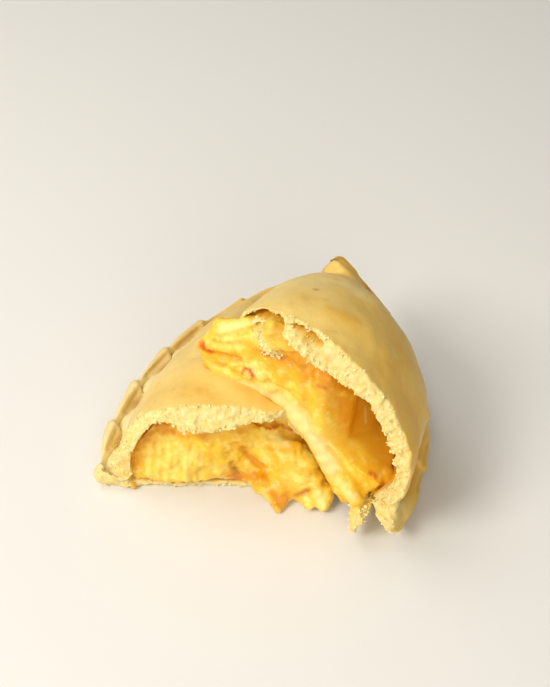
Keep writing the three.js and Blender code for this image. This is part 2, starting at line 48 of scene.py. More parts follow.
PHOTO_SIZE = (550, 687)
FOCAL_PIXELS = 1100
SENSOR_WIDTH = 36
VIEW_DISTANCE = 275
VIEW_ELEVATION = math.radians(45)
VIEW_TARGET = np.array([2.542, 20.760, 0])
NEAREST_SEEN = 0.01
MM = 0.001
TABLE_SIZE = 3.0
TABLE_COLOUR = (0.80, 0.79, 0.77, 1)
TABLE_ROUGHNESS = 0.6
WORLD_COLOUR = (1.0, 0.95, 0.86, 1)
WORLD_STRENGTH = 0.3
LAMPS = {
    "key_light": {"place": (-0.40, -0.28, 0.48), "size": 0.26, "power": 2.95, "colour": (1.0, 0.96, 0.88)},
    "front_light": {"place": (0.12, -0.60, 0.30), "size": 0.40, "power": 1.4, "colour": (1.0, 0.96, 0.88)},
    "top_light": {"place": (-0.26, 0.14, 0.56), "size": 0.40, "power": 1.27, "colour": (1.0, 0.97, 0.90)},
}

view_back = np.array([0, -math.cos(VIEW_ELEVATION), math.sin(VIEW_ELEVATION)])
view_up = np.array([0, math.sin(VIEW_ELEVATION), math.cos(VIEW_ELEVATION)])
view_right = np.array([1.0, 0, 0])
view_eye = VIEW_TARGET + VIEW_DISTANCE * view_back

camera_data = bpy.data.cameras.new("camera")
camera_data.sensor_width = SENSOR_WIDTH
camera_data.lens = FOCAL_PIXELS * SENSOR_WIDTH / max(PHOTO_SIZE)
camera_data.clip_start = NEAREST_SEEN
camera = bpy.data.objects.new("camera", camera_data)
camera.location = Vector(view_eye) * MM
camera.rotation_euler = Vector(-view_back).to_track_quat("-Z", "Y").to_euler()
bpy.context.scene.collection.objects.link(camera)
bpy.context.scene.camera = camera

for lamp_name, lamp in LAMPS.items():
    lamp_data = bpy.data.lights.new(lamp_name, "AREA")
    lamp_data.size = lamp["size"]
    lamp_data.energy = lamp["power"]
    lamp_data.color = lamp["colour"]
    lamp_object = bpy.data.objects.new(lamp_name, lamp_data)
    lamp_object.location = lamp["place"]
    lamp_object.rotation_euler = (-Vector(lamp["place"])).to_track_quat("-Z", "Y").to_euler()
    bpy.context.scene.collection.objects.link(lamp_object)

world = bpy.data.worlds.new("studio")
world.use_nodes = True
world.node_tree.nodes["Background"].inputs["Color"].default_value = WORLD_COLOUR
world.node_tree.nodes["Background"].inputs["Strength"].default_value = WORLD_STRENGTH
bpy.context.scene.world = world
bpy.context.scene.view_settings.view_transform = "Standard"

table_mesh = bpy.data.meshes.new("table")
half_table = TABLE_SIZE / 2
table_corners = [(x * half_table, y * half_table, 0) for x, y in ((-1, -1), (1, -1), (1, 1), (-1, 1))]
table_mesh.from_pydata(table_corners, [], [(0, 1, 2, 3)])
table = bpy.data.objects.new("table", table_mesh)
bpy.context.scene.collection.objects.link(table)
table_finish = bpy.data.materials.new("pale_table")
table_finish.use_nodes = True
table_shader = table_finish.node_tree.nodes["Principled BSDF"]
table_shader.inputs["Base Color"].default_value = TABLE_COLOUR
table_shader.inputs["Roughness"].default_value = TABLE_ROUGHNESS
table_mesh.materials.append(table_finish)

# Crust of the lying half
# Wheat dough, rolled thin, folded over the filling and baked pale gold. Its edge is pressed flat and turned
# over in crimps with the fingers. Where it was torn it shows a cream-coloured crumb with ragged edges.

# Both halves have the same forms in other sizes, in millimetres and degrees. A half's own axes go from its
# tear to its horn, from its fold to its rim, and up. A place a is 0 at the tear and 1 at the horn, and a
# place q is 0 at the fold and 1 at the valley inside the rim.
LYING = SimpleNamespace(
    place=(13.442, -23.240, 0), yaw=0, roll=0, pitch=0, side=-1,
    reach=62.8, width=50.7, height=26.4, horn_height=6, horn_neck=4, hook=6, bow=1.46, slope=1.6,
    crest=0.55, nose_height=0.2, nose_depth=0.12, fold_side=0.18, rim_side=(0.37, 1.6), neck=0,
    top_thickness=3.2, fold_thin=0.25, rim_thin=0.45, base_thickness=1.5, fold_thickness=3, rim_thickness=2.4,
    rim_width=6, rim_fill=0, crimp_calm=0, crimp_start=1, crimp_turn=1, cavity_end=0.78, swell=0,
    sag=(0, 0), peel=1.8, peel_place=0.62, flap=0, pockets=(), lip_slant=3.2, slant_end=(0.62, 0.82),
    skin_back=2, skin_out=0, fold_tuck=3, corner_back=0, fold_back=0, tooth=(0, 0), tooth_rise=0, notch=0,
    rim_end=0, nub=0.8, base_bulge=0.3, coat=0, calm=(80, 90), seed=2,
)
LEANING = SimpleNamespace(
    place=(-10.258, -10.140, 32.9), yaw=34.8, roll=36.1, pitch=-5.8, side=1,
    reach=42.5, width=57, height=27.5, horn_height=8, horn_neck=4, hook=8.1, bow=0.94, slope=1.18,
    crest=0.46, nose_height=0.4, nose_depth=0.18, fold_side=0.5, rim_side=(0.35, 0.35), neck=3.2,
    top_thickness=3, fold_thin=0.9, rim_thin=1, base_thickness=2.4, fold_thickness=3, rim_thickness=1.5,
    rim_width=8.5, rim_fill=7, crimp_calm=0.8, crimp_start=5, crimp_turn=-1, cavity_end=0.74, swell=2,
    sag=(3.4, 3), peel=3, peel_place=0.33, flap=4.2,
    pockets=(
        {"at": (0.05, 0.5), "size": (0.06, 0.42), "depth": 6},
        {"at": (0.21, 0.36), "size": (0.075, 0.17), "depth": 5},
    ),
    lip_slant=1.6, slant_end=(0.85, 1), skin_back=0, skin_out=2.8, fold_tuck=0, corner_back=4, fold_back=4.5,
    tooth=(5.8, 2.5), tooth_rise=0.8, notch=5.5, rim_end=3.2, nub=2.2, base_bulge=0.7, coat=1, calm=(17, 25),
    seed=7,
)
GRAIN_SHIFT = (7.31, 3.77, 5.13)
GRAIN_FALL = 0.7
GRAIN_STEP = 2.0
PORE_SHIFT = (2.9, 8.3, 4.7)
PORE_SPACING = 1.5
PORE_SIZE = 0.42


def smooth(lo, hi, v):
    t = np.clip((v - lo) / (hi - lo), 0, 1)
    return t * t * (3 - 2 * t)


def bell(v):
    return np.exp(-np.square(v))


def near(v, middle, spread):
    return bell((v - middle) / spread)


def mix(p, q, t):
    return p + (q - p) * t


def grain(points, size, octaves, seed):
    """Uneven value from about -1 to 1 at each point, in lumps of a size."""
    shift = Vector([seed * step for step in GRAIN_SHIFT])
    places = [Vector(p) / size + shift for p in points]
    return np.array([noise.fractal(place, GRAIN_FALL, GRAIN_STEP, octaves) for place in places])


def pores(points, seed):
    """1 in the middle of round pores, 0 between them."""
    shift = Vector([seed * step for step in PORE_SHIFT])
    nearest = [noise.voronoi(Vector(p) / PORE_SPACING + shift)[0][0] for p in points]
    return bell(np.array(nearest) * PORE_SPACING / PORE_SIZE)


def placing(half):
    """Matrix from the half's own axes (tear to horn, fold to rim, up) to its place."""
    yaw, roll, pitch = (math.radians(v) for v in (half.yaw, half.roll, half.pitch))
    along = np.array([0, 1.0, 0])
    across = np.array([half.side, 0, 0.0])
    up = np.array([0, 0, 1.0])
    rolled = across * math.cos(roll) - up * math.sin(roll)
    rolled_up = up * math.cos(roll) + across * math.sin(roll)
    pitched = along * math.cos(pitch) + rolled_up * math.sin(pitch)
    pitched_up = rolled_up * math.cos(pitch) - along * math.sin(pitch)
    turn = np.array(Matrix.Rotation(-yaw, 3, "Z"))
    matrix = np.eye(4)
    matrix[:3, :3] = turn @ np.stack([pitched, rolled, pitched_up], 1)
    matrix[:3, 3] = half.place
    return matrix


def moved(matrix, points):
    return points @ matrix[:3, :3].T + matrix[:3, 3]


HORN_RIM_WIDTH = 4.5
HORN_TAPER = 0.7
VALLEY_HEIGHT = 4.2
RIM_FILL_END = 0.16
NECK_PLACE = (0.72, 0.22)
SAG_PLACES = ((0.16, 0.165), (0.84, 0.165))
SAG_END = 0.6
REST_GAP = 0.7
PRESS_START = 1
PRESS_EDGE = (-2.2, 0)
MOST_PRESSED = 0.3


def fold_reach(half):
    return half.reach - HORN_RIM_WIDTH - half.horn_neck


def plan(half, a):
    """Fold, valley and rim in plan and the way out of the rim, at a place a."""
    sx = np.sin(a * np.pi / 2)
    cx = np.maximum(np.cos(a * np.pi / 2), 0)
    rim = np.stack([half.reach * sx, half.hook * sx**2 + half.width * cx**half.bow], -1)
    out = np.stack([sx / half.reach, cx / half.width], -1)
    out /= np.linalg.norm(out, axis=-1, keepdims=True)
    rim_width = mix(half.rim_width, HORN_RIM_WIDTH, smooth(HORN_TAPER, 1, a))
    valley = rim - out * rim_width[..., None]
    fold = np.stack([fold_reach(half) * sx, half.hook * sx**2], -1)
    return fold, valley, rim, out


def row_of(half, local):
    """Place a of the row through points on a half's own axes, and how far across its fold and valley are."""
    a = np.arcsin(np.clip(local[..., 0] / fold_reach(half), 0, 1)) * 2 / np.pi
    fold, valley, _, _ = plan(half, a)
    return a, fold[..., 1], valley[..., 1]


def crest_height(half, a):
    share = np.maximum(np.cos(a * np.pi / 2), 0) ** half.slope
    return mix(half.horn_height, half.height, share) - half.neck * near(a, *NECK_PLACE)


def valley_height(half, a):
    return VALLEY_HEIGHT + half.rim_fill * (1 - smooth(0, RIM_FILL_END, a))


def dome_height(half, a, q, top, nose, valley):
    """Height of the dome over its base at places a and q."""
    rise = np.maximum(np.cos(np.pi / 2 * np.clip((half.crest - q) / half.crest, 0, 1)), 0)
    fall = np.maximum(np.cos(np.pi / 2 * np.clip((q - half.crest) / (1 - half.crest), 0, 1)), 0)
    fold_side = mix(nose, top, rise**half.fold_side)
    rim_side = mix(valley, top, fall ** mix(half.rim_side[0], half.rim_side[1], a))
    return np.where(q < half.crest, fold_side, rim_side)


def base_sag(half, a, q):
    hang = sum(depth * near(q, *place) for depth, place in zip(half.sag, SAG_PLACES))
    return hang * (1 - smooth(0, SAG_END, a))


def base_height(half, a, q, nose, floor):
    t = np.clip((half.nose_depth - q) / half.nose_depth, 0, 1)
    return floor + (nose - floor) * (1 - np.sqrt(1 - t * t)) - base_sag(half, a, q)


def pressed_by(points):
    """How far points have to go down to clear the base of the leaning half."""
    local = moved(np.linalg.inv(placing(LEANING)), points)
    a, fold, valley = row_of(LEANING, local)
    q = (local[..., 1] - fold) / np.maximum(valley - fold, 1)
    nose = LEANING.nose_height * crest_height(LEANING, a)
    base = base_height(LEANING, a, np.clip(q, 0, 1), nose, 0) + LEANING.width * np.maximum(-q, 0)
    over = np.maximum(local[..., 2] - base + REST_GAP, -PRESS_START)
    press = np.where(over > PRESS_START, over, (over + PRESS_START) ** 2 / (4 * PRESS_START))
    fade = smooth(*PRESS_EDGE, local[..., 0])
    return press * fade / math.cos(math.radians(LEANING.roll))


def settled(half, a, q):
    """Share of its height that the lying half keeps where the other half leans on it."""
    if half is LEANING:
        return np.ones(np.broadcast(a, q).shape)
    fold, valley, _, _ = plan(half, a)
    crest = crest_height(half, a)
    top = dome_height(half, a, q, crest, half.nose_height * crest, valley_height(half, a))
    at = mix(fold, valley, q[..., None])
    press = pressed_by(moved(placing(half), np.concatenate([at, top[..., None]], -1)))
    return np.maximum(1 - press / top, MOST_PRESSED)


CRIMP_PITCH = 13.1
CRIMP_REACH = 1.25
CRIMP_LOW = 0.5
CRIMP_AT_HORN = 0.35
CRIMP_TIP = 0.87
CRIMP_RISE = 0.75
CRIMP_MEAN = 0.7
CRIMP_FULL = 0.75
CRIMP_CREASE = 0.75
CRIMP_SPREAD = 0.37
CRIMP_SLANT = 2.5
CRIMP_FADE = 0.86
CRIMP_CALM_END = 0.42
DIMPLE_PLACE = (0.66, 0.2)


def crimp_left(half, a):
    """Share of the crimps that is left towards the horn, and towards the tear where they are pressed flat."""
    return (1 - smooth(CRIMP_FADE, 1, a)) * (1 - half.crimp_calm * (1 - smooth(0, CRIMP_CALM_END, a)))


def crimp(half, a, along, across):
    """A crimp: how far it stands out, its height, its crease across the rim and the dimple at its tip."""
    start = half.crimp_start + half.crimp_turn * CRIMP_SLANT * across
    turns = half.crimp_turn * (along - start) / CRIMP_PITCH
    u = turns - np.floor(turns)
    left = crimp_left(half, a)
    stand = np.where(u < CRIMP_TIP, (u / CRIMP_TIP) ** CRIMP_RISE, (1 - u) / (1 - CRIMP_TIP)) - CRIMP_MEAN
    taper = smooth(0, CRIMP_FULL, u) * (1 - smooth(CRIMP_TIP, 1, u))
    lift = mix(CRIMP_AT_HORN, mix(CRIMP_LOW, 1, taper), left)
    crease = CRIMP_CREASE - CRIMP_SPREAD * mix(1, taper, left)
    return CRIMP_REACH * stand * left, lift, crease, near(u, *DIMPLE_PLACE) * left


# A row goes round the dough in columns: over the dome, the strip and the petal of the rim, under the rim and
# back along the base. The steps count the places where the tear has its tooth, notch and corners.
DOME_COLUMNS = 210
STRIP_COLUMNS = 10
PETAL_COLUMNS = 26
UNDER_COLUMNS = 12
BASE_COLUMNS = 60
COLUMNS = DOME_COLUMNS + STRIP_COLUMNS + PETAL_COLUMNS + UNDER_COLUMNS + BASE_COLUMNS
BASE_COLUMN = COLUMNS - BASE_COLUMNS
DOME_PACKING = 0.9
DOME_STEPS = 16
NOT_BASE = -99.0
STRIP_STEP = -12
PETAL_STEP = -9
UNDER_STEP = -4
BASE_STEPS = 15
TOOTH_STEP = 1.5
TOOTH_EDGE = (0.25, 0.8)
CREASE_SPREAD = 1.1


def shares(count):
    return np.arange(count) / count


dome_share = (1 - np.cos(shares(DOME_COLUMNS) ** DOME_PACKING * np.pi)) / 2
strip_share = shares(STRIP_COLUMNS)
petal_share = shares(PETAL_COLUMNS)
under_share = 1 - shares(UNDER_COLUMNS)
base_share = (1 + np.cos(shares(BASE_COLUMNS) * np.pi)) / 2
column_dome = np.concatenate([dome_share, np.full(COLUMNS - DOME_COLUMNS, -1.0)])
base_step = np.concatenate([
    np.full(DOME_COLUMNS, NOT_BASE),
    mix(STRIP_STEP, PETAL_STEP, strip_share),
    mix(PETAL_STEP, UNDER_STEP, petal_share),
    mix(UNDER_STEP, 0, shares(UNDER_COLUMNS)),
    BASE_STEPS * shares(BASE_COLUMNS),
])
rim_step = base_step[DOME_COLUMNS:] + (DOME_STEPS - STRIP_STEP)
ring_step = np.concatenate([DOME_STEPS * shares(DOME_COLUMNS), rim_step])
tooth_share = 1 - smooth(*TOOTH_EDGE, np.abs(base_step - TOOTH_STEP))
crease_share = near(base_step, PETAL_STEP, CREASE_SPREAD) * (base_step >= STRIP_STEP)

RIM_SAMPLES = 1500
FINE_ROWS = (6.0, 0.27)
ROW_SPACING = 0.62
RIM_EDGE_HEIGHT = 3
RIM_ROUNDING = 0.65
STRIP_HEIGHT = 0.5
CREASE_DEPTH = 0.9
CREASE_ACROSS = 0.4
DIMPLE_DEPTH = 1.1
PETAL_HEIGHT = 2.3
PETAL_ROUNDING = 0.7
SWELL_END = 0.2
LEAST_ROOM = 1.5
LEAST_HOLLOW = 1.2
CORNER_HEIGHT = 2.2
CORNER_SHARE = 0.4
CORNER_ROUNDING = 0.9
PEEL_SPREAD = 0.17
PEEL_END = (0.02, 0.22)
FOLD_THINNING = (0.1, 0.5)
RIM_THINNING = (0.66, 0.85)


def rim_rows(half):
    """Places a of the rows of a half, closer together beside the tear, and their distance along the rim."""
    fine = np.linspace(0, 1, RIM_SAMPLES)
    rim = plan(half, fine)[2]
    length = np.concatenate([[0], np.cumsum(np.linalg.norm(np.diff(rim, axis=0), axis=1))])
    rest = int((length[-1] - FINE_ROWS[0]) / ROW_SPACING)
    along = np.concatenate([np.arange(0, *FINE_ROWS), np.linspace(FINE_ROWS[0], length[-1], rest)])
    return np.interp(along, length, fine), along


def raised(p, z):
    return np.concatenate([p, np.broadcast_to(z, p.shape[:2])[..., None]], -1)


def outside(half, a, along):
    """Rows of points over the dome, over the crimped rim and back along the base."""
    a = a[:, None]
    along = along[:, None]
    fold, valley, rim, out = plan(half, a)
    top = crest_height(half, a)
    nose = half.nose_height * top
    low = valley_height(half, a)
    crease_depth = CREASE_DEPTH * crimp_left(half, a)

    def crimped(across):
        stand, lift, crease, dimple = crimp(half, a, along, across)
        groove = mix(RIM_EDGE_HEIGHT, low, 1 - crease) - crease_depth - DIMPLE_DEPTH * dimple
        return rim + out * stand[..., None], lift, crease, groove

    q = dome_share[None, :]
    height = dome_height(half, a, q, top, nose, low) * settled(half, a, q)
    dome = raised(mix(fold, valley, q[..., None]), height)
    t = strip_share[None, :]
    edge, _, crease, groove = crimped(t * CREASE_ACROSS)
    height = mix(low, groove, t) + STRIP_HEIGHT * np.sin(np.pi * t)
    strip = raised(mix(valley, edge, (crease * t)[..., None]), height)
    t = petal_share[None, :]
    edge, lift, crease, groove = crimped(mix(CREASE_ACROSS, 1, t))
    bump = np.sin(np.pi * t) ** PETAL_ROUNDING * PETAL_HEIGHT * lift
    petal = raised(mix(valley, edge, mix(crease, 1, t)[..., None]), mix(groove, RIM_EDGE_HEIGHT, t) + bump)
    f = under_share[None, :]
    edge = crimped(np.ones_like(f))[0]
    t = np.clip((f - 1 + RIM_ROUNDING) / RIM_ROUNDING, 0, 1)
    droop = base_sag(half, a, 1) * (1 - f)
    under = raised(mix(valley, edge, f[..., None]), RIM_EDGE_HEIGHT * (1 - np.sqrt(1 - t * t)) - droop)
    q = base_share[None, :]
    base = raised(mix(fold, valley, q[..., None]), base_height(half, a, q, nose, 0) * settled(half, a, q))
    return np.concatenate([dome, strip, petal, under, base], 1)


def inside(half, a):
    """Rows of points round the hollow inside the dough."""
    a = a[:, None]
    fold, valley, _, _ = plan(half, a)
    crest = crest_height(half, a)
    length = np.linalg.norm(valley - fold, axis=-1)
    floor = half.base_thickness + half.swell * (1 - smooth(0, SWELL_END, a))
    room = np.maximum(crest - half.top_thickness - half.base_thickness, LEAST_ROOM)
    nose = floor + half.nose_height * room
    low = half.base_thickness + np.minimum(CORNER_HEIGHT, CORNER_SHARE * room)

    def across(q, z):
        share = (half.fold_thickness + q * (length - half.fold_thickness - half.rim_thickness)) / length
        return raised(mix(fold, valley, share[..., None]), z)

    q = dome_share[None, :]
    peeled = half.peel * near(q, half.peel_place, PEEL_SPREAD) * (1 - smooth(*PEEL_END, a))
    fold_part = mix(half.fold_thin, 1, smooth(*FOLD_THINNING, q))
    rim_part = mix(1, half.rim_thin, smooth(*RIM_THINNING, q))
    top = np.maximum(crest - half.top_thickness * fold_part * rim_part - peeled, floor + LEAST_HOLLOW)
    height = dome_height(half, a, q, np.maximum(top, nose), nose, low)
    dome = across(q, height * settled(half, a, q))
    t = shares(BASE_COLUMN - DOME_COLUMNS)[None, :]
    droop = base_sag(half, a, 1) * t
    corner = across(1 + CORNER_ROUNDING * np.sin(np.pi * t) / length, mix(low, floor, t) - droop)
    q = base_share[None, :]
    base = across(q, base_height(half, a, q, nose, floor) * settled(half, a, q))
    return np.concatenate([dome, corner, base], 1)


TEAR_RAGGED = 0.6
SLOW_WAVE = (0.7, 0.55)
FAST_WAVE = (0.4, 1.3)
LEAST_SLANT = 0.4
SLANT_START = (0.1, 0.5)
FLAP_PLACE = (0.17, 0.13)
SKIN_BACK_START = (0.7, 0.9)
SKIN_BACK_END = (-10, -8)
SKIN_OUT_PLACES = ((1, 0.93, 0.14), (1.3, 0.97, 0.05))
SKIN_OUT_STRIP = 0.78
CORNER_PLACE = (-7, 4)
TUCK_DOME = (0.1, 0.26)
TUCK_BASE = (13, 15)
FOLD_BACK_PLACE = (42, 1.4)
NOTCH_PLACE = (-2.0, 1.9)
RIM_END_PLACE = (-6, 2.4)
TEAR_DEPTH = 9
TEETH_DEPTH = 2.2
LIP_TEETH = ((2.34, 0.55), (0.9, 0.5), (0.45, 0.25))
HOLLOW_TEETH = (1.44, 0.7)
BASE_TEETH = 0.4
TOOTH_TEETH = 1.3
LIP_ROWS = 20
LIP_BULGE = 0.5
LIP_ROUNDING = 0.5
NUB_PLACE = (-7, 3)
BASE_BULGE_START = (0, 2)
POCKET_EDGE = (0.6, 1.15)
HORN_ROWS = 10
HORN_ROUNDING = 2.2
CAVITY_ROWS = 34
CAVITY_PACKING = 1.4
CAVITY_FIRST = 0.014
CAVITY_CAP = 0.5
SKIN = 0
LIP = 1
HOLLOW = 2


def tear_shift(half, layer, depth):
    """How far each column of the torn edge stands back: its slant, waves, tooth, notch and fold."""
    q = column_dome
    on_dome = q >= 0
    slant = half.lip_slant * smooth(*SLANT_START, q) * (1 - smooth(*half.slant_end, q))
    slant = np.where(on_dome, slant + half.flap * near(q, *FLAP_PLACE), 0)
    wave = SLOW_WAVE[0] * np.sin(ring_step * SLOW_WAVE[1] + half.seed)
    wave = wave + FAST_WAVE[0] * np.sin(ring_step * FAST_WAVE[1] + 2 * half.seed + layer)
    back = np.where(on_dome, smooth(*SKIN_BACK_START, q), 1 - smooth(*SKIN_BACK_END, base_step))
    out = sum(share * near(q, middle, spread) for share, middle, spread in SKIN_OUT_PLACES)
    out = np.where(on_dome, out, SKIN_OUT_STRIP * (1 - smooth(STRIP_STEP, PETAL_STEP, base_step)))
    tuck = np.where(on_dome, 1 - smooth(*TUCK_DOME, q), smooth(*TUCK_BASE, base_step))
    shift = (half.skin_back * back - half.skin_out * out) * (1 - depth)
    shift = shift + half.corner_back * depth * near(base_step, *CORNER_PLACE)
    shift = shift + half.fold_tuck * tuck + half.fold_back * near(ring_step, *FOLD_BACK_PLACE)
    shift = shift + half.notch * near(base_step, *NOTCH_PLACE) - half.tooth[0] * tooth_share
    shift = shift - half.rim_end * near(base_step, *RIM_END_PLACE)
    return wave * TEAR_RAGGED - (slant + LEAST_SLANT) * depth + shift


def tear_back(half, rows, layer, depth):
    """Draw the torn end of rows back or out."""
    rows[..., 0] += tear_shift(half, layer, depth) * (1 - smooth(0, TEAR_DEPTH, rows[..., 0]))


def tear_ragged(half, rows, teeth, rise):
    """Give the torn end of rows its fine teeth, and bend the tooth of the base to the rim and up."""
    rows[..., 0] += teeth * (1 - smooth(0, TEETH_DEPTH, rows[..., 0]))
    bend = tooth_share * (1 - smooth(0, TEAR_DEPTH, rows[..., 0]))
    rows[..., 1] += half.tooth[1] * bend
    rows[..., 2] += rise * bend


def crust_rows(half):
    """All rows of a crust from the horn over the outside, the torn edge and the hollow, with their kinds."""
    a, along = rim_rows(half)
    outer = outside(half, a, along)
    teeth = sum(share * grain(outer[0], size, 2, half.seed + k) for k, (size, share) in enumerate(LIP_TEETH))
    teeth *= np.where(base_step > PETAL_STEP, mix(BASE_TEETH, TOOTH_TEETH, half.coat * tooth_share), 1)
    tear_back(half, outer, 1, 0)
    tear_ragged(half, outer, teeth, 0)
    last = outer[-1]
    middle = last.mean(0)
    rounding = np.array([0, HORN_ROUNDING, 0])
    turns = np.linspace(0, np.pi / 2, HORN_ROWS + 1)[1:-1]
    horn = [middle + (last - middle) * math.cos(turn) - rounding * math.sin(turn) for turn in turns]
    deeper = half.cavity_end * (np.arange(1, CAVITY_ROWS) / (CAVITY_ROWS - 1)) ** CAVITY_PACKING
    places = np.sort(np.concatenate([[0, CAVITY_FIRST], deeper]))
    inner = inside(half, places)
    tear_back(half, inner, 2, 1)
    teeth = HOLLOW_TEETH[1] * grain(inner[0], HOLLOW_TEETH[0], 2, half.seed + 9)
    teeth *= np.where(base_step > TOOTH_STEP, BASE_TEETH, 1)
    tear_ragged(half, inner, teeth, half.tooth_rise)
    bulge = LIP_BULGE + half.nub * near(base_step, *NUB_PLACE)
    bulge = bulge + half.base_bulge * smooth(*BASE_BULGE_START, base_step)
    lip = []
    pits = []
    for t in np.linspace(0, 1, LIP_ROWS + 2)[1:-1]:
        row = mix(outer[0], inner[0], t)
        row[:, 0] -= bulge * math.sin(math.pi * t) ** LIP_ROUNDING
        pit = np.zeros(COLUMNS)
        for pocket in half.pockets:
            away = np.hypot((column_dome - pocket["at"][0]) / pocket["size"][0],
                            (t - pocket["at"][1]) / pocket["size"][1])
            hollow = np.where(column_dome >= 0, 1 - smooth(*POCKET_EDGE, away), 0)
            row[:, 0] += pocket["depth"] * hollow
            pit = np.maximum(pit, hollow)
        lip.append(row)
        pits.append(pit)
    rows = np.concatenate([horn[::-1], outer[::-1], lip, inner])
    skin_rows = len(horn) + len(outer)
    kinds = np.repeat([SKIN, LIP, HOLLOW], [skin_rows, len(lip), len(inner)])
    pits = np.concatenate([np.zeros((skin_rows, COLUMNS)), pits, np.zeros((len(inner), COLUMNS))])
    row_a = np.concatenate([np.ones(len(horn)), a[::-1], np.zeros(len(lip)), places])
    row_along = np.concatenate([np.full(len(horn), along[-1]), along[::-1], np.zeros(len(lip) + len(inner))])
    # The dimple at each crimp's tip, along the crease to the strip, is also kept as a mask of painted shade
    dimple_shade = crimp(half, row_a[:, None], row_along[:, None], CREASE_ACROSS)[3]
    dimple_shade = dimple_shade * crease_share * (kinds == SKIN)[:, None]
    end = inner[-1].mean(0) - np.array([CAVITY_CAP, 0, 0])
    return rows, kinds, pits, dimple_shade, middle - rounding, end


def loft(rows, first, last):
    """Points and faces of closed rows, with a pole at each end."""
    count, columns, _ = rows.shape
    points = np.concatenate([rows.reshape(-1, 3), [first, last]])
    i, j = np.meshgrid(np.arange(count - 1) * columns, np.arange(columns), indexing="ij")
    after = (j + 1) % columns
    faces = np.stack([i + j, i + after, i + columns + after, i + columns + j], -1).reshape(-1, 4).tolist()
    ring = range(columns)
    faces += [(count * columns, (k + 1) % columns, k) for k in ring]
    start = (count - 1) * columns
    faces += [(count * columns + 1, start + k, start + (k + 1) % columns) for k in ring]
    return points, faces


def new_piece(name, points, faces, masks, finish):
    """A mesh object from points in millimetres, with its masks as attributes and smooth shading."""
    mesh = bpy.data.meshes.new(name)
    mesh.from_pydata((points * MM).tolist(), [], faces)
    form = bmesh.new()
    form.from_mesh(mesh)
    bmesh.ops.recalc_face_normals(form, faces=form.faces)
    form.to_mesh(mesh)
    form.free()
    for mask_name, values in masks.items():
        mask = mesh.attributes.new(mask_name, "FLOAT", "POINT")
        mask.data.foreach_set("value", np.asarray(values, np.float32))
    mesh.shade_smooth()
    mesh.materials.append(finish)
    made = bpy.data.objects.new(name, mesh)
    bpy.context.scene.collection.objects.link(made)
    return made


def mesh_points(piece):
    points = np.empty(len(piece.data.vertices) * 3)
    piece.data.vertices.foreach_get("co", points)
    return points.reshape(-1, 3) / MM


def mesh_normals(piece):
    normals = np.empty(len(piece.data.vertices) * 3)
    piece.data.vertex_normals.foreach_get("vector", normals)
    return normals.reshape(-1, 3)


def reshape(piece, points):
    """Give a piece new points, in millimetres, none of them below the table."""
    points = points.copy()
    points[:, 2] = np.maximum(points[:, 2], 0)
    piece.data.vertices.foreach_set("co", (points * MM).ravel())
    piece.data.update()


STROKE_STEP = 2.0


def sight(pixel):
    """Direction from the camera through a pixel of the photograph."""
    across = (pixel[0] - PHOTO_SIZE[0] / 2) / FOCAL_PIXELS
    up = (PHOTO_SIZE[1] / 2 - pixel[1]) / FOCAL_PIXELS
    return Vector(-view_back + across * view_right + up * view_up).normalized()


def stroke(points, tree, radius, pixels):
    """1 along a stroke over a surface, drawn through pixels of the photograph, fading over a radius."""
    away = np.full(len(points), np.inf)
    for start, end in zip(pixels[:-1], pixels[1:]):
        count = max(int(math.dist(start, end) / STROKE_STEP), 1)
        for t in np.linspace(0, 1, count + 1):
            hit = tree.ray_cast(Vector(view_eye), sight(mix(np.array(start), np.array(end), t)))[0]
            if hit is not None:
                away = np.minimum(away, np.linalg.norm(points - np.array(hit), axis=1))
    return bell(away / radius)


def painted(points, faces, strokes):
    """For each kind of stroke, how strongly it marks the points of a surface."""
    tree = BVHTree.FromPolygons(points.tolist(), faces)
    marked = {}
    for kind, lines in strokes.items():
        marks = [strength * stroke(points, tree, radius, pixels) for radius, strength, pixels in lines]
        marked[kind] = np.max(marks, 0)
    return marked


# Where each mask of the dough begins and ends, and how high or deep each relief goes
NEAR_TEAR = 1.3
NEAR_TEAR_SHARE = 0.6
PIT_EDGE = (0.03, 0.4)
LIP_EDGES = (0.16, 0.2)
CLUMP_SIZE = 2.2
CLUMP_EDGE = (-0.1, 0.5)
LEAST_RAGGED = 0.25
COAT_START = (-0.6, 0.4)
COAT_FILL = 0.85
TOOTH_FRONT = (-2.5, -0.5)
TOOTH_CRUMB = 0.3
INSIDE_START = (0.3, 3.0)
PETAL_START = 0.25
STRIP_BAND = (0.84, 0.98)
STRIP_END = 0.3
BARE_EDGE = (0.25, 0.6)
BARE_PATCHES = (1.6, 0.2)
BARE_RAGGED = 0.25
LEAST_BARE = 0.05
BARE_DEPTH = 0.2
DENT_SHADE = 0.8
DENT_DEPTH = 0.6
DOME_LUMPS = ((14, 0.55), (4.5, 0.14))
BASE_LUMPS = 0.3
WALL_LUMPS = (3.0, 0.25)
BLISTER_HEIGHT = 0.25
CRUMB_SIZE = 1.5
CRUMB_RELIEF = 0.42
PORE_DEPTH = 0.38


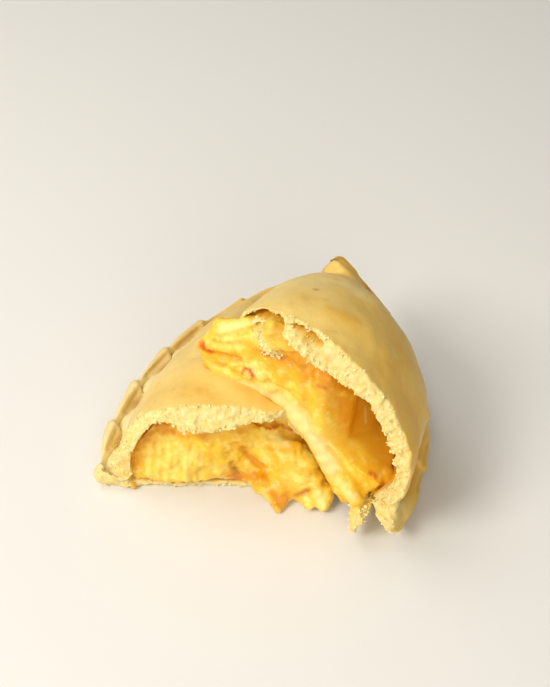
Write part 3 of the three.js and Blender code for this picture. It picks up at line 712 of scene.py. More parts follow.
def crust(name, half, marks, finish):
    """The dough of a half: its form, the relief of its skin and of its torn crumb, its masks and marks."""
    rows, kinds, pits, dimple_shade, tip, end = crust_rows(half)
    local, faces = loft(rows, tip, end)
    points = moved(placing(half), local)
    points[:, 2] = np.maximum(points[:, 2], 0)
    kind = np.concatenate([np.repeat(kinds, COLUMNS), [SKIN, HOLLOW]])
    column = np.concatenate([np.tile(np.arange(COLUMNS), len(kinds)), [0, 0]])
    skin = kind == SKIN
    on_dome = skin & (column < DOME_COLUMNS)
    on_base = skin & (column >= BASE_COLUMN)
    on_rim = skin & ~on_dome & ~on_base
    petal = np.clip((column - DOME_COLUMNS - STRIP_COLUMNS) / PETAL_COLUMNS, 0, 1)
    pit = smooth(*PIT_EDGE, np.concatenate([pits.ravel(), [0, 0]]))
    across_lip = np.concatenate([np.repeat(np.cumsum(kinds == LIP) / LIP_ROWS, COLUMNS), [0, 1]])
    lip_edge = np.maximum(bell(across_lip / LIP_EDGES[0]), bell((1 - across_lip) / LIP_EDGES[1]))
    clumps = smooth(*CLUMP_EDGE, grain(points, CLUMP_SIZE, 2, half.seed + 5))
    in_front = np.where(kind == LIP, 1, (kind == HOLLOW) * (1 - smooth(*TOOTH_FRONT, local[:, 0])))
    tooth = half.coat * tooth_share[column] * in_front
    coated = half.coat * ~skin * smooth(*COAT_START, base_step[column]) * (1 - tooth)
    torn = np.maximum(kind == LIP, tooth) * (1 - coated)
    behind = NEAR_TEAR_SHARE * bell(local[:, 0] / NEAR_TEAR) * (kind == HOLLOW) * (1 - coated)
    strip = on_dome * smooth(*STRIP_BAND, column_dome[column]) + on_rim * (1 - smooth(0, STRIP_END, petal))
    masks = {
        "torn": np.clip(torn + behind, 0, 1) * (1 - pit),
        "ragged": torn * mix(LEAST_RAGGED, 1, lip_edge) * mix(LEAST_RAGGED, 1, clumps) * (1 - pit),
        "pit": pit,
        "coated": coated,
        "inside": (kind == HOLLOW) * smooth(*INSIDE_START, local[:, 0]),
        "rim": on_rim * smooth(0, PETAL_START, petal),
        "strip": strip,
        "underside": on_base,
        # Painted shade in the crimp dimples
        "dimple": np.concatenate([dimple_shade.ravel(), [0, 0]]),
        **painted(points, faces, marks),
    }
    patchy = BARE_PATCHES[1] * grain(points, BARE_PATCHES[0], 2, half.seed)
    bare = smooth(*BARE_EDGE, masks.pop("bare") + patchy) * skin
    # Each dent is pressed in and also darkened with painted shade through the dimple mask
    dent = masks.pop("dent") * on_rim
    for mask_name, values in (("dimple", DENT_SHADE * dent), ("torn", bare), ("ragged", BARE_RAGGED * bare)):
        masks[mask_name] = np.maximum(masks[mask_name], values)
    piece = new_piece(name, points, faces, masks, finish)
    lift = np.zeros(len(points))
    for size, height in DOME_LUMPS:
        lift[skin] += height * grain(points[skin], size, 2, half.seed)
    lift *= np.where(on_base, BASE_LUMPS, 1)
    lift += BLISTER_HEIGHT * masks["golden_and_painted_shade"] * on_dome - DENT_DEPTH * dent
    crumb = (kind == LIP) | (tooth > TOOTH_CRUMB)
    relief = CRUMB_RELIEF * grain(points[crumb], CRUMB_SIZE, 4, half.seed)
    pitting = PORE_DEPTH * pores(points[crumb], half.seed)
    lift[crumb] = (1 - COAT_FILL * coated[crumb]) * relief - (1 - coated[crumb]) * pitting
    peeled = bare > LEAST_BARE
    relief = CRUMB_RELIEF * grain(points[peeled], CRUMB_SIZE, 4, half.seed)
    lift[peeled] += bare[peeled] * (relief - BARE_DEPTH)
    wall = (kind == HOLLOW) & ~crumb
    lift[wall] = WALL_LUMPS[1] * grain(points[wall], WALL_LUMPS[0], 2, half.seed)
    reshape(piece, points + mesh_normals(piece) * lift[:, None])
    return piece


PATCH_DETAIL = 3.0
RELIEF_DETAIL = 4.0


def new_node(tree, kind, inputs=None, **settings):
    """A new node of a tree; an input is a value, or a socket to be linked to it."""
    made = tree.nodes.new(kind)
    for name, value in settings.items():
        setattr(made, name, value)
    for name, value in (inputs or {}).items():
        if isinstance(value, bpy.types.NodeSocket):
            tree.links.new(value, made.inputs[name])
        else:
            made.inputs[name].default_value = value
    return made


def painter(name):
    """A new finish, and what its colours, gloss and fine relief are mixed with."""
    finish = bpy.data.materials.new(name)
    finish.use_nodes = True
    tree = finish.node_tree
    shader = tree.nodes["Principled BSDF"]

    def node(kind, inputs=None, **settings):
        return new_node(tree, "ShaderNode" + kind, inputs, **settings)

    place = node("TexCoord").outputs["Object"]

    def patches(scale, detail=PATCH_DETAIL):
        return node("TexNoise", {"Vector": place, "Scale": scale, "Detail": detail}).outputs["Fac"]

    def ramp(value, lo, hi, low=0.0, high=1.0):
        limits = {"From Min": lo, "From Max": hi, "To Min": low, "To Max": high}
        return node("MapRange", {"Value": value, **limits}).outputs["Result"]

    def patchy(scale, *limits):
        return ramp(patches(scale), *limits)

    def mask(attribute):
        return node("Attribute", attribute_name=attribute).outputs["Fac"]

    def times(p, q):
        return node("Math", {0: p, 1: q}, operation="MULTIPLY").outputs[0]

    def plus(p, q):
        return node("Math", {0: p, 1: q}, operation="ADD").outputs[0]

    def blend(share, below, above):
        return node("Mix", {0: share, 6: below, 7: above}, data_type="RGBA").outputs[2]

    def layered(colour, layers):
        for mask_name, limits, patch, above in layers:
            where = [ramp(mask(mask_name), *limits)] if mask_name else []
            if patch:
                where.append(patchy(*patch))
            colour = blend(reduce(times, where), colour, above)
        return colour

    def relief(fine, coarse, coarse_share, strength, depth):
        height = plus(patches(fine, RELIEF_DETAIL), times(patches(coarse), coarse_share))
        made = node("Bump", {"Height": height, "Strength": strength, "Distance": depth})
        link(made.outputs["Normal"], "Normal")

    def link(socket, name):
        tree.links.new(socket, shader.inputs[name])

    def settings(values):
        for name, value in values.items():
            shader.inputs[name].default_value = value

    return SimpleNamespace(
        finish=finish, patchy=patchy, mask=mask, times=times, plus=plus, blend=blend,
        layered=layered, relief=relief, link=link, settings=settings,
    )


# Colours in layers from the lowest up: the mask that a colour follows with its range, then the scale and
# range of the patches that it lies in, then the colour
DOUGH_PATCHES = (70, 0.35, 0.65)
DOUGH_COLOURS = ((0.77, 0.50, 0.105, 1), (0.84, 0.605, 0.18, 1))
FRECKLES = (320, 0.5, 0.75)
FRECKLE_GROUPS = (90, 0.4, 0.7)
FRECKLE_COLOUR = (0.66, 0.37, 0.06, 1)
DOUGH_LAYERS = (
    ("rim", (0, 1), (160, 0.25, 0.7), (0.77, 0.50, 0.11, 1)),
    ("strip", (0, 1), (50, 0.2, 0.6), (0.78, 0.60, 0.24, 1)),
    # Browned golden patches; the broad stroke down the leaning half's right side is painted warm shade
    ("golden_and_painted_shade", (0, 1), (120, 0.2, 0.6), (0.76, 0.43, 0.05, 1)),
    # Pale patches of the dough; along the lying half's petals and strip they are painted light, paler than
    # the same crimps of the shaded leaning half
    ("beige_and_painted_light", (0, 1), None, (0.87, 0.73, 0.36, 1)),
    # Painted shade in the dimples of the crimps and the dents of the petals
    ("dimple", (0, 1, 0, 0.6), None, (0.60, 0.31, 0.035, 1)),
    ("speck", (0, 1), None, (0.45, 0.17, 0.02, 1)),
    ("underside", (0, 1), None, (0.66, 0.42, 0.11, 1)),
    ("inside", (0, 1), None, (0.78, 0.38, 0.008, 1)),
)
TORN_PATCHES = (900, 0.35, 0.65)
TORN_COLOURS = ((0.81, 0.61, 0.19, 1), (0.87, 0.72, 0.34, 1))
TORN_LAYERS = (
    ("stain", (0, 1), (450, 0.35, 0.55), (0.72, 0.37, 0.04, 1)),
    ("coated", (0, 1), None, (0.90, 0.68, 0.16, 1)),
    ("pit", (0, 1), None, (0.78, 0.42, 0.02, 1)),
)
DOUGH_ROUGHNESS = (500, 0, 1, 0.42, 0.62)
TORN_ROUGHER = 0.25
GREASY_ROUGHER = -0.22
DOUGH_SHADER = {
    "Subsurface Weight": 0.18, "Subsurface Radius": (1.0, 0.55, 0.2), "Subsurface Scale": 0.0015,
    "Specular IOR Level": 0.4,
}
DOUGH_RELIEF = (1500, 420, 1.4, 0.25, 0.0002)


def dough_finish(name):
    """Baked dough: pale gold with browner and greyer patches, a fine skin and a cream-coloured crumb; some
    marks are painted shade in the crimps and on a shaded side, and painted light on lit petals.
    """
    p = painter(name)
    freckles = p.times(p.patchy(*FRECKLES), p.patchy(*FRECKLE_GROUPS))
    skin = p.blend(freckles, p.blend(p.patchy(*DOUGH_PATCHES), *DOUGH_COLOURS), FRECKLE_COLOUR)
    crumb = p.blend(p.patchy(*TORN_PATCHES), *TORN_COLOURS)
    colour = p.blend(p.mask("torn"), p.layered(skin, DOUGH_LAYERS), crumb)
    p.link(p.layered(colour, TORN_LAYERS), "Base Color")
    rough = p.plus(p.patchy(*DOUGH_ROUGHNESS), p.times(p.mask("torn"), TORN_ROUGHER))
    greasy = p.times(p.plus(p.mask("inside"), p.mask("coated")), GREASY_ROUGHER)
    p.link(p.plus(rough, greasy), "Roughness")
    p.settings(DOUGH_SHADER)
    p.relief(*DOUGH_RELIEF)
    return p.finish


# Marks on the dough: radius, strength and the pixels that a stroke goes through
LYING_MARKS = {
    "golden_and_painted_shade": (
        (3.2, 0.8, ((236, 392), (252, 397), (270, 398))), (2.5, 0.5, ((150, 398), (162, 392))),
        (3.0, 0.4, ((190, 392), (215, 398))), (4.0, 0.4, ((205, 360), (225, 375))),
    ),
    "beige_and_painted_light": (
        (3.0, 1.0, ((136, 398), (150, 380), (170, 358))), (2.2, 0.35, ((170, 358), (200, 334), (240, 310))),
        (5.0, 0.3, ((160, 376), (198, 354))),
        # This stroke and the last one are painted light along the lit petals and strip of the rim
        (2.4, 1.0, ((102, 470), (110, 440), (124, 408), (146, 376))),
        (2.0, 0.6, ((146, 376), (180, 345), (225, 312))),
        (3.0, 1.0, ((112, 460), (124, 430), (138, 404))),
    ),
    # Dents in the petals: pressed in, and painted with shade
    "dent": (
        (0.9, 1.0, ((126, 411), (138, 392))), (0.9, 1.0, ((148, 375), (167, 355))),
        (0.9, 0.9, ((179, 346), (199, 329))), (0.8, 0.9, ((109, 447), (117, 430))),
    ),
    "bare": (
        (1.7, 1.0, ((115, 454), (120, 445), (126, 435), (132, 426), (138, 419))),
        (0.8, 0.8, ((102, 471), (110, 466))),
    ),
    "speck": ((0.35, 0.6, ((114, 471), (116, 470))),),
    "stain": ((0.9, 0.8, ((119, 464), (127, 461), (132, 452))), (0.7, 0.7, ((118, 474), (132, 474)))),
}
baked_dough = dough_finish("baked_dough")
lying_crust = crust("lying_dough", LYING, LYING_MARKS, baked_dough)
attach(lying_crust, "root")
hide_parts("lying_crust")

# Crust of the leaning half
# The same dough, torn off the lying half. Its fold leans on that half's shoulder and it stands on its crimped
# rim. Its lip has split in two layers over the hollow, and a tooth of its base stands out beside the rim.

LEANING_MARKS = {
    "golden_and_painted_shade": (
        (2.2, 1.0, ((331, 314), (341, 318), (351, 323))),
        # Painted warm shade down the shaded right side of the dome
        (7.0, 0.9, ((392, 350), (408, 385), (416, 430), (412, 480))),
        (1.3, 0.9, ((340, 258), (350, 266), (360, 275), (368, 287))), (3.0, 0.4, ((290, 296), (305, 300))),
        (4.0, 0.4, ((372, 330), (385, 350))),
    ),
    "beige_and_painted_light": ((5.0, 0.4, ((268, 298), (290, 288), (318, 280))), (3.0, 0.4, ((345, 285), (358, 292)))),
    # Dents in the petals: pressed in, and painted with shade
    "dent": ((0.9, 1.0, ((425, 462), (428, 444))), (0.9, 0.8, ((419, 488), (423, 474)))),
    "bare": ((0.6, 1.0, ((400, 470), (398, 490), (396, 512))), (1.0, 0.9, ((390, 528), (394, 520)))),
    "speck": ((0.4, 0.9, ((315, 290), (317, 290))), (0.6, 0.8, ((366, 283), (369, 290)))),
    "stain": ((1.2, 0.3, ((383, 520), (388, 530))), (0.8, 0.4, ((318, 352), (330, 360)))),
}
leaning_crust = crust("leaning_dough", LEANING, LEANING_MARKS, baked_dough)
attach(leaning_crust, "root")
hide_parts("leaning_crust")

# Filling of the lying half
# Melted cheese, drawn out in ripples where the halves were pulled apart. It runs through the whole half; at
# the front it spills over the base in a tongue with a crisp tip and in two round lobes.

VOXEL_SIZE = 0.4
MELT_ROUNDS = 5
MELT_SHARE = 0.5
MERGE_DISTANCE = 0.001
SPILL_LIMIT = -2.5
FACE_DEPTH = (2.5, 6.0)
CHEESE_LUMPS = ((5.0, 0.4), (2.0, 0.3), (0.9, 0.2))
CALM_SHARE = 0.85
BALL_STEP = 4.0
LEAST_COVER = 0.9
LEAST_ACROSS = 3
COVER_START = (0.2, 2.0)
# Balls of cheese: the pixel where one is seen, its height over the table or its depth behind the tear, and
# its radius; a sheet of them has four corner pixels, their depths and one radius
LYING_SPILL = (
    ((264, 484), 3.0, 2.6), ((272, 487), 2.6, 2.6), ((282, 488), 2.6, 2.8), ((292, 487), 2.8, 2.6),
    ((270, 493), 1.7, 1.7), ((276, 496), 1.6, 1.9), ((283, 496), 1.6, 1.9), ((289, 493), 1.6, 1.6),
    ((275, 501), 1.1, 1.2), ((281, 502), 1.1, 1.3), ((278, 506), 0.9, 1.0), ((278, 510), 0.7, 0.7),
    ((308, 499), 1.7, 1.9), ((309, 504), 1.5, 1.6), ((303, 492), 2.4, 2.2),
    ((323, 499), 2.2, 2.1), ((323, 505), 1.6, 1.6), ((325, 492), 3.2, 2.3), ((317, 488), 4.0, 2.6),
    ((133, 485), 0.9, 0.9),
)
LYING_SHEETS = (
    (((138, 444), (152, 434), (133, 477), (150, 478)), (0.6, 1.6, 0.4, 0.6), 2.4),
    (((146, 436), (164, 430), (148, 470), (164, 470)), (2.4, 2.8, 0.6, 0.6), 3.0),
)
LYING_LUMPS = (
    ((272, 446), -1.5, 4.6), ((288, 455), -3.5, 5.0), ((303, 466), -5.0, 4.8), ((286, 472), -4.5, 4.6),
    ((314, 478), -5.5, 4.0), ((262, 470), -2.5, 3.6), ((226, 452), -0.6, 4.0), ((205, 458), -0.4, 3.6),
)
LYING_RIDGES = (
    (0.6, 0.4, ((152, 446), (149, 474))), (0.6, 0.4, ((160, 442), (158, 476))),
    (0.7, 0.5, ((169, 447), (166, 478))), (0.6, 0.4, ((177, 444), (175, 477))),
    (0.7, 0.5, ((186, 449), (184, 478))), (0.6, 0.35, ((196, 446), (195, 478))),
    (0.8, 0.4, ((209, 446), (207, 477))), (0.8, 0.4, ((221, 440), (219, 474))),
    (0.7, -0.7, ((243, 449), (250, 457), (262, 468))), (0.6, -0.6, ((297, 496), (308, 490))),
    (0.6, -0.4, ((232, 462), (237, 474))),
)
LYING_TINTS = {
    "pale": (
        (1.0, 0.8, ((150, 447), (148, 474))), (0.8, 0.7, ((160, 444), (158, 476))),
        (1.0, 0.9, ((170, 449), (167, 478))), (0.9, 0.8, ((179, 447), (176, 477))),
        (1.1, 0.9, ((188, 452), (186, 478))), (1.0, 0.7, ((199, 450), (198, 478))),
        (1.2, 0.6, ((212, 466), (224, 478))), (1.6, 0.8, ((270, 434), (280, 440))),
        (2.2, 0.7, ((292, 478), (306, 486))), (1.4, 0.8, ((318, 492), (322, 504))),
        (1.0, 0.8, ((306, 500), (310, 507))), (0.6, 0.9, ((264, 492), (278, 512), (291, 498))),
        (1.2, 0.6, ((250, 440), (262, 452))), (1.4, 0.5, ((285, 456), (300, 466))),
    ),
    "amber_and_painted_shade": (
        # The strokes at the lip's left corner and along its lower edge are painted shade under the lip; the
        # others are amber places of the cheese
        (2.6, 1.0, ((141, 436), (152, 430), (163, 428))), (1.8, 0.8, ((136, 446), (133, 462))),
        (1.3, 0.8, ((168, 430), (198, 437), (226, 428), (255, 419))), (1.6, 0.9, ((228, 476), (262, 477))),
        (0.9, 1.0, ((242, 447), (250, 457), (262, 468))), (1.7, 1.0, ((274, 495), (280, 505), (286, 496))),
        (0.7, 0.9, ((296, 496), (309, 490))), (1.6, 0.6, ((318, 462), (330, 480))),
        (1.2, 0.5, ((240, 430), (262, 424))), (1.0, 0.9, ((133, 486), (135, 484))),
    ),
    "brown": (
        (0.9, 0.8, ((233, 464), (237, 473))), (1.0, 0.9, ((324, 483), (331, 480))),
        (0.7, 0.5, ((244, 450), (246, 453))), (0.6, 0.6, ((298, 496), (306, 491))),
    ),
    "cream": (
        (1.0, 0.6, ((276, 438), (286, 444))), (1.0, 0.6, ((318, 494), (322, 504))),
    ),
    "red": (
        (0.7, 0.8, ((267, 429), (280, 426), (296, 430))), (0.6, 0.6, ((230, 476), (240, 478))),
        (0.5, 0.6, ((227, 452), (229, 455))),
    ),
}


def on_level(pixel, height):
    """Where the line of sight through a pixel is at a height over the table."""
    way = np.array(sight(pixel))
    return view_eye + way * (height - view_eye[2]) / way[2]


def on_tear(half, pixel, depth):
    """Where the line of sight through a pixel is a depth behind the tear of a half."""
    way = np.array(sight(pixel))
    inverse = np.linalg.inv(placing(half))
    start = moved(inverse, view_eye)[0]
    return view_eye + way * (depth - start) / (inverse[0, :3] @ way)


def spread_balls(half, corners, depths, radius):
    """Balls close together over a patch between four pixels, each at its own depth behind the tear."""
    corners = np.array(corners, float)
    longest = max(math.dist(corners[0], corners[1]), math.dist(corners[2], corners[3]))
    tallest = max(math.dist(corners[0], corners[2]), math.dist(corners[1], corners[3]))
    across = np.linspace(0, 1, int(longest / BALL_STEP) + 2)
    down = np.linspace(0, 1, int(tallest / BALL_STEP) + 2)
    balls = []
    for v in down:
        for u in across:
            pixel = mix(mix(corners[0], corners[1], u), mix(corners[2], corners[3], u), v)
            depth = mix(mix(depths[0], depths[1], u), mix(depths[2], depths[3], u), v)
            balls.append((on_tear(half, pixel, depth + radius), radius))
    return balls


def torn_balls(half, sheets, lumps):
    """Balls of cheese at the tear of a half: close together in sheets, and one by one."""
    balls = [ball for sheet in sheets for ball in spread_balls(half, *sheet)]
    return balls + [(on_tear(half, pixel, depth + radius), radius) for pixel, depth, radius in lumps]


def mesh_arrays(mesh):
    """Points and four-cornered faces of a mesh."""
    points = np.empty(len(mesh.vertices) * 3)
    mesh.vertices.foreach_get("co", points)
    corners = np.empty(len(mesh.loops), np.int32)
    mesh.loops.foreach_get("vertex_index", corners)
    return points.reshape(-1, 3), corners.reshape(-1, 4)


def melted(node, half, balls):
    """Form of a filling, melted together from its own form and from balls of cheese, in millimetres."""
    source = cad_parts[node]
    form = bmesh.new()
    form.from_mesh(source.data)
    bmesh.ops.transform(form, matrix=Matrix.Scale(1 / MM, 4) @ source.matrix_world, verts=form.verts)
    bmesh.ops.remove_doubles(form, verts=form.verts, dist=MERGE_DISTANCE)
    matrix = placing(half)
    inverse = np.linalg.inv(matrix)
    for vertex in form.verts:
        local = moved(inverse, np.array(vertex.co))
        local[0] = max(local[0], SPILL_LIMIT)
        vertex.co = moved(matrix, local)
    core = [np.array(vertex.co) for vertex in form.verts]
    core_faces = [[vertex.index for vertex in face.verts] for face in form.faces]
    form.clear()
    bmesh.ops.create_icosphere(form, subdivisions=2, radius=1)
    ball = np.array([vertex.co for vertex in form.verts])
    ball_faces = np.array([[vertex.index for vertex in face.verts] for face in form.faces])
    form.free()
    points = [core] + [place + radius * ball for place, radius in balls]
    faces = core_faces
    for k in range(len(balls)):
        faces += (ball_faces + len(core) + k * len(ball)).tolist()
    rough = bpy.data.meshes.new("rough_filling")
    rough.from_pydata(np.concatenate(points).tolist(), [], faces)
    holder = bpy.data.objects.new("rough_filling", rough)
    bpy.context.scene.collection.objects.link(holder)
    remesh = holder.modifiers.new("melt", "REMESH")
    remesh.mode = "VOXEL"
    remesh.voxel_size = VOXEL_SIZE
    soften = holder.modifiers.new("soften", "SMOOTH")
    soften.factor = MELT_SHARE
    soften.iterations = MELT_ROUNDS
    melt = bpy.data.meshes.new_from_object(holder.evaluated_get(bpy.context.evaluated_depsgraph_get()))
    bpy.data.objects.remove(holder)
    points, faces = mesh_arrays(melt)
    bpy.data.meshes.remove(melt)
    bpy.data.meshes.remove(rough)
    return points, faces


def kept_inside(half, local):
    """Points of a filling on a half's own axes, drawn in behind the tear so that the dough covers them."""
    a, fold, valley = row_of(half, local)
    farthest = np.maximum(valley, fold + LEAST_ACROSS) - LEAST_COVER
    across = np.clip(local[:, 1], fold + LEAST_COVER, farthest)
    q = np.clip((across - fold) / np.maximum(valley - fold, 1), 0, 1)
    crest = crest_height(half, a)
    nose = half.nose_height * crest
    left = settled(half, a, q)
    low = base_height(half, a, q, nose, 0) * left + LEAST_COVER
    high = dome_height(half, a, q, crest, nose, valley_height(half, a)) * left - LEAST_COVER
    covered = np.stack([local[:, 0], across, np.clip(local[:, 2], low, np.maximum(high, low))], 1)
    return mix(local, covered, smooth(*COVER_START, local[:, 0])[:, None])


def filling(name, half, form, ridges, tints, finish):
    """A filling: its melted form, the lumps and ridges of its torn face, and its tints."""
    points, faces = form
    local = kept_inside(half, moved(np.linalg.inv(placing(half)), points))
    points = moved(placing(half), local)
    tree = BVHTree.FromPolygons(points.tolist(), faces.tolist())
    exposed = 1 - smooth(*FACE_DEPTH, local[:, 0])
    # Cheese farther behind the tear than its torn face gets painted shade
    masks = {"deep_shade": 1 - exposed, **painted(points, faces.tolist(), tints)}
    lift = np.zeros(len(points))
    calm = 1 - CALM_SHARE * smooth(*half.calm, local[:, 1])
    for size, height in CHEESE_LUMPS:
        lift += height * calm * grain(points, size, 2, half.seed)
    for radius, height, pixels in ridges:
        lift += height * stroke(points, tree, radius, pixels)
    piece = new_piece(name, points, faces.tolist(), masks, finish)
    reshape(piece, points + mesh_normals(piece) * (lift * exposed)[:, None])
    return piece


CHEESE_PATCHES = (160, 0.35, 0.65)
CHEESE_COLOURS = ((0.86, 0.47, 0.015, 1), (0.92, 0.63, 0.06, 1))
CHEESE_LAYERS = (
    (None, None, (260, 0.52, 0.68, 0.0, 0.6), (0.80, 0.38, 0.008, 1)),
    (None, None, (480, 0.52, 0.66, 0.0, 0.7), (0.94, 0.76, 0.19, 1)),
    # Pale ripples and sheets of the cheese; one spot beside the red ring of the leaning half is a painted
    # highlight
    ("pale", (0, 1), (400, 0.2, 0.6), (0.95, 0.80, 0.21, 1)),
    # Painted shade on the cheese deep behind the tear
    ("deep_shade", (0, 1, 0, 0.75), None, (0.78, 0.42, 0.015, 1)),
    # Amber places of the cheese, and painted shade under the lips, in creases and in the hollow of the
    # leaning half
    ("amber_and_painted_shade", (0, 1), (350, 0.2, 0.5), (0.72, 0.28, 0.003, 1)),
    # Pale cream places of the cheese, and painted highlights on the leaning half's base lip and beside its
    # red ring
    ("cream", (0, 1, 0, 0.85), None, (0.90, 0.77, 0.34, 1)),
    ("red", (0.1, 0.9), (700, 0.3, 0.5), (0.62, 0.10, 0.006, 1)),
    ("brown", (0.1, 0.9), (700, 0.3, 0.5), (0.36, 0.14, 0.012, 1)),
)
CHEESE_ROUGHNESS = (600, 0.2, 0.8, 0.28, 0.5)
CHEESE_SHADER = {
    "Subsurface Weight": 0.25, "Subsurface Radius": (1.0, 0.6, 0.15), "Subsurface Scale": 0.002,
    "Specular IOR Level": 0.35, "Coat Weight": 0.12, "Coat Roughness": 0.15,
}
CHEESE_RELIEF = (900, 300, 1.2, 0.2, 0.0003)


def cheese_finish(name):
    """Melted cheese: glossy, from pale yellow to dark orange-gold, with small brown and red places, with
    painted shade under the lips and in the hollow and a few painted highlights.
    """
    p = painter(name)
    p.link(p.layered(p.blend(p.patchy(*CHEESE_PATCHES), *CHEESE_COLOURS), CHEESE_LAYERS), "Base Color")
    p.link(p.patchy(*CHEESE_ROUGHNESS), "Roughness")
    p.settings(CHEESE_SHADER)
    p.relief(*CHEESE_RELIEF)
    return p.finish


melted_cheese = cheese_finish("melted_cheese")
lying_balls = [(on_level(pixel, height), radius) for pixel, height, radius in LYING_SPILL]
lying_balls += torn_balls(LYING, LYING_SHEETS, LYING_LUMPS)
lying_form = melted("lying_filling", LYING, lying_balls)
lying_filling = filling("lying_cheese", LYING, lying_form, LYING_RIDGES, LYING_TINTS, melted_cheese)
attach(lying_filling, "root")
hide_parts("lying_filling")

# Filling of the leaning half
# The same cheese. It has slumped to the fold, where a sheet of it hangs over the torn edge above a bright
# mass; towards the rim only a smooth coat of it is left on the base.

LEANING_SHEETS = (
    (((221, 326), (268, 322), (206, 349), (280, 350)), (-2.0, 0.2, -3.2, -0.6), 1.7),
    (((212, 358), (288, 361), (226, 372), (300, 404)), (-3.2, -0.6, -3.0, -1.6), 2.4),
    (((286, 362), (330, 388), (298, 402), (322, 428)), (-0.2, 3.4, -1.2, 1.8), 3.2),
    (((325, 375), (346, 390), (320, 424), (338, 440)), (-2.7, 1.6, -2.5, 1.2), 2.8),
    (((338, 385), (366, 406), (330, 432), (356, 462)), (0.6, 9.0, 0.2, 5.0), 2.8),
    (((236, 350), (286, 350), (236, 364), (290, 366)), (-2.6, -0.4, -3.2, -0.8), 1.8),
    (((272, 326), (292, 334), (272, 342), (294, 346)), (-3.8, -2.2, -3.4, -3.0), 1.4),
    (((304, 414), (328, 424), (340, 480), (366, 478)), (-1.8, 1.8, -1.8, 1.6), 2.6),
)
LEANING_LUMPS = (
    ((201, 344), -3.4, 1.1), ((248, 371), -3.6, 1.6), ((262, 374), -3.4, 1.6), ((280, 376), -2.6, 2.0),
    ((236, 364), -3.6, 1.5), ((230, 338), -2.6, 1.4), ((258, 335), -1.6, 1.6), ((270, 386), -2.8, 1.8),
    ((272, 393), -2.4, 2.3), ((281, 399), -2.4, 2.3), ((290, 407), -2.4, 2.3), ((299, 416), -2.4, 2.4),
    ((307, 425), -2.4, 2.4), ((314, 435), -2.4, 2.4), ((320, 445), -2.4, 2.4), ((326, 456), -2.4, 2.4),
    ((331, 466), -2.4, 2.4), ((336, 476), -2.4, 2.3), ((341, 486), -2.4, 2.3), ((347, 494), -2.4, 2.2),
    ((346, 488), -3.6, 2.0), ((352, 494), -4.4, 1.9), ((357, 501), -4.6, 1.6),
    ((358, 494), 0.2, 2.4), ((368, 492), 0.6, 2.6), ((377, 486), 1.0, 2.8), ((383, 477), 2.0, 3.0),
    ((370, 480), 1.2, 3.2), ((360, 484), 0.6, 3.0), ((350, 480), 0.2, 3.0), ((375, 470), 2.4, 3.4),
    ((340, 465), 0.6, 3.0), ((352, 466), 1.6, 3.4), ((333, 448), 0.8, 3.2), ((322, 430), 0.8, 3.2),
)
LEANING_RIDGES = (
    (0.6, 0.4, ((218, 333), (262, 322))), (0.6, 0.4, ((222, 340), (268, 334))),
    (0.7, -0.5, ((206, 352), (222, 356), (240, 359))), (0.7, 0.45, ((215, 361), (250, 366))),
    (0.6, 0.4, ((224, 372), (246, 380))), (0.7, 0.4, ((262, 366), (286, 376))),
    (0.7, -0.5, ((285, 360), (322, 384))), (0.8, 0.7, ((258, 331), (264, 338), (268, 347), (277, 351))),
)
LEANING_TINTS = {
    "pale": (
        (1.2, 0.9, ((222, 331), (244, 323), (262, 321))), (0.9, 0.8, ((224, 339), (268, 337))),
        (0.7, 0.7, ((214, 346), (240, 347))), (1.2, 0.8, ((212, 366), (232, 374))),
        # The second stroke on this line is a painted highlight
        (0.9, 1.0, ((255, 364), (262, 370))), (1.0, 0.6, ((232, 361), (244, 360))),
        (1.1, 0.6, ((268, 384), (290, 396))), (1.2, 0.5, ((276, 330), (284, 344))),
    ),
    # The broad strokes are painted shade under the crumb flap and in the hollow; the thin lines are amber
    # places of the cheese
    "amber_and_painted_shade": (
        (0.7, 0.9, ((206, 351), (220, 355), (240, 359))), (2.6, 1.0, ((288, 358), (308, 370), (330, 386))),
        (1.6, 0.6, ((285, 322), (298, 338))), (3.5, 0.9, ((334, 384), (346, 400), (352, 425))),
        (2.0, 0.7, ((278, 330), (290, 340))),
        (1.2, 0.5, ((214, 360), (222, 364))),
        (1.2, 0.6, ((255, 350), (280, 352))),
        (2.4, 1.0, ((316, 364), (332, 377), (346, 394), (356, 414))),
    ),
    "cream": (
        # The band strokes over the base lip and the spot beside the red ring are painted highlights on pale
        # cheese
        (1.3, 0.9, ((238, 383), (262, 390), (284, 402))),
        (2.0, 1.0, ((290, 408), (304, 424), (318, 445), (332, 470))),
        (1.0, 0.8, ((252, 372), (258, 376))),
        (1.2, 0.7, ((338, 480), (352, 498))),
        (0.9, 0.7, ((222, 329), (240, 325))),
        (0.35, 0.9, ((365, 408), (366, 423))), (1.0, 0.8, ((258, 331), (264, 338), (268, 347), (277, 351))),
    ),
    "brown": ((0.6, 0.9, ((216, 340), (219, 340))), (0.4, 0.5, ((316, 386), (326, 389)))),
    "ragged": (
        (1.1, 1.3, ((258, 331), (264, 338), (268, 347), (277, 351))),
        (0.8, 1.2, ((262, 345), (270, 352))),
    ),
    "red": (
        (0.9, 1.0, ((202, 344), (205, 348), (210, 351))), (0.7, 0.9, ((264, 353), (272, 355), (281, 357))),
        (0.5, 0.9, ((243, 373), (246, 368), (250, 370), (253, 376))), (0.9, 0.7, ((371, 474), (375, 476))),
        (0.5, 0.6, ((318, 385), (325, 388))),
    ),
}

leaning_balls = torn_balls(LEANING, LEANING_SHEETS, LEANING_LUMPS)
leaning_form = melted("leaning_filling", LEANING, leaning_balls)
leaning_filling = filling(
    "leaning_cheese", LEANING, leaning_form, LEANING_RIDGES, LEANING_TINTS, melted_cheese,
)
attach(leaning_filling, "root")
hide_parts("leaning_filling")

# Crumbs on the torn edges
# The torn dough is short and flaky: small flakes and grains of its crumb stand up along both torn edges, held
# where they broke. Some have fallen on the cheese of the leaning half.

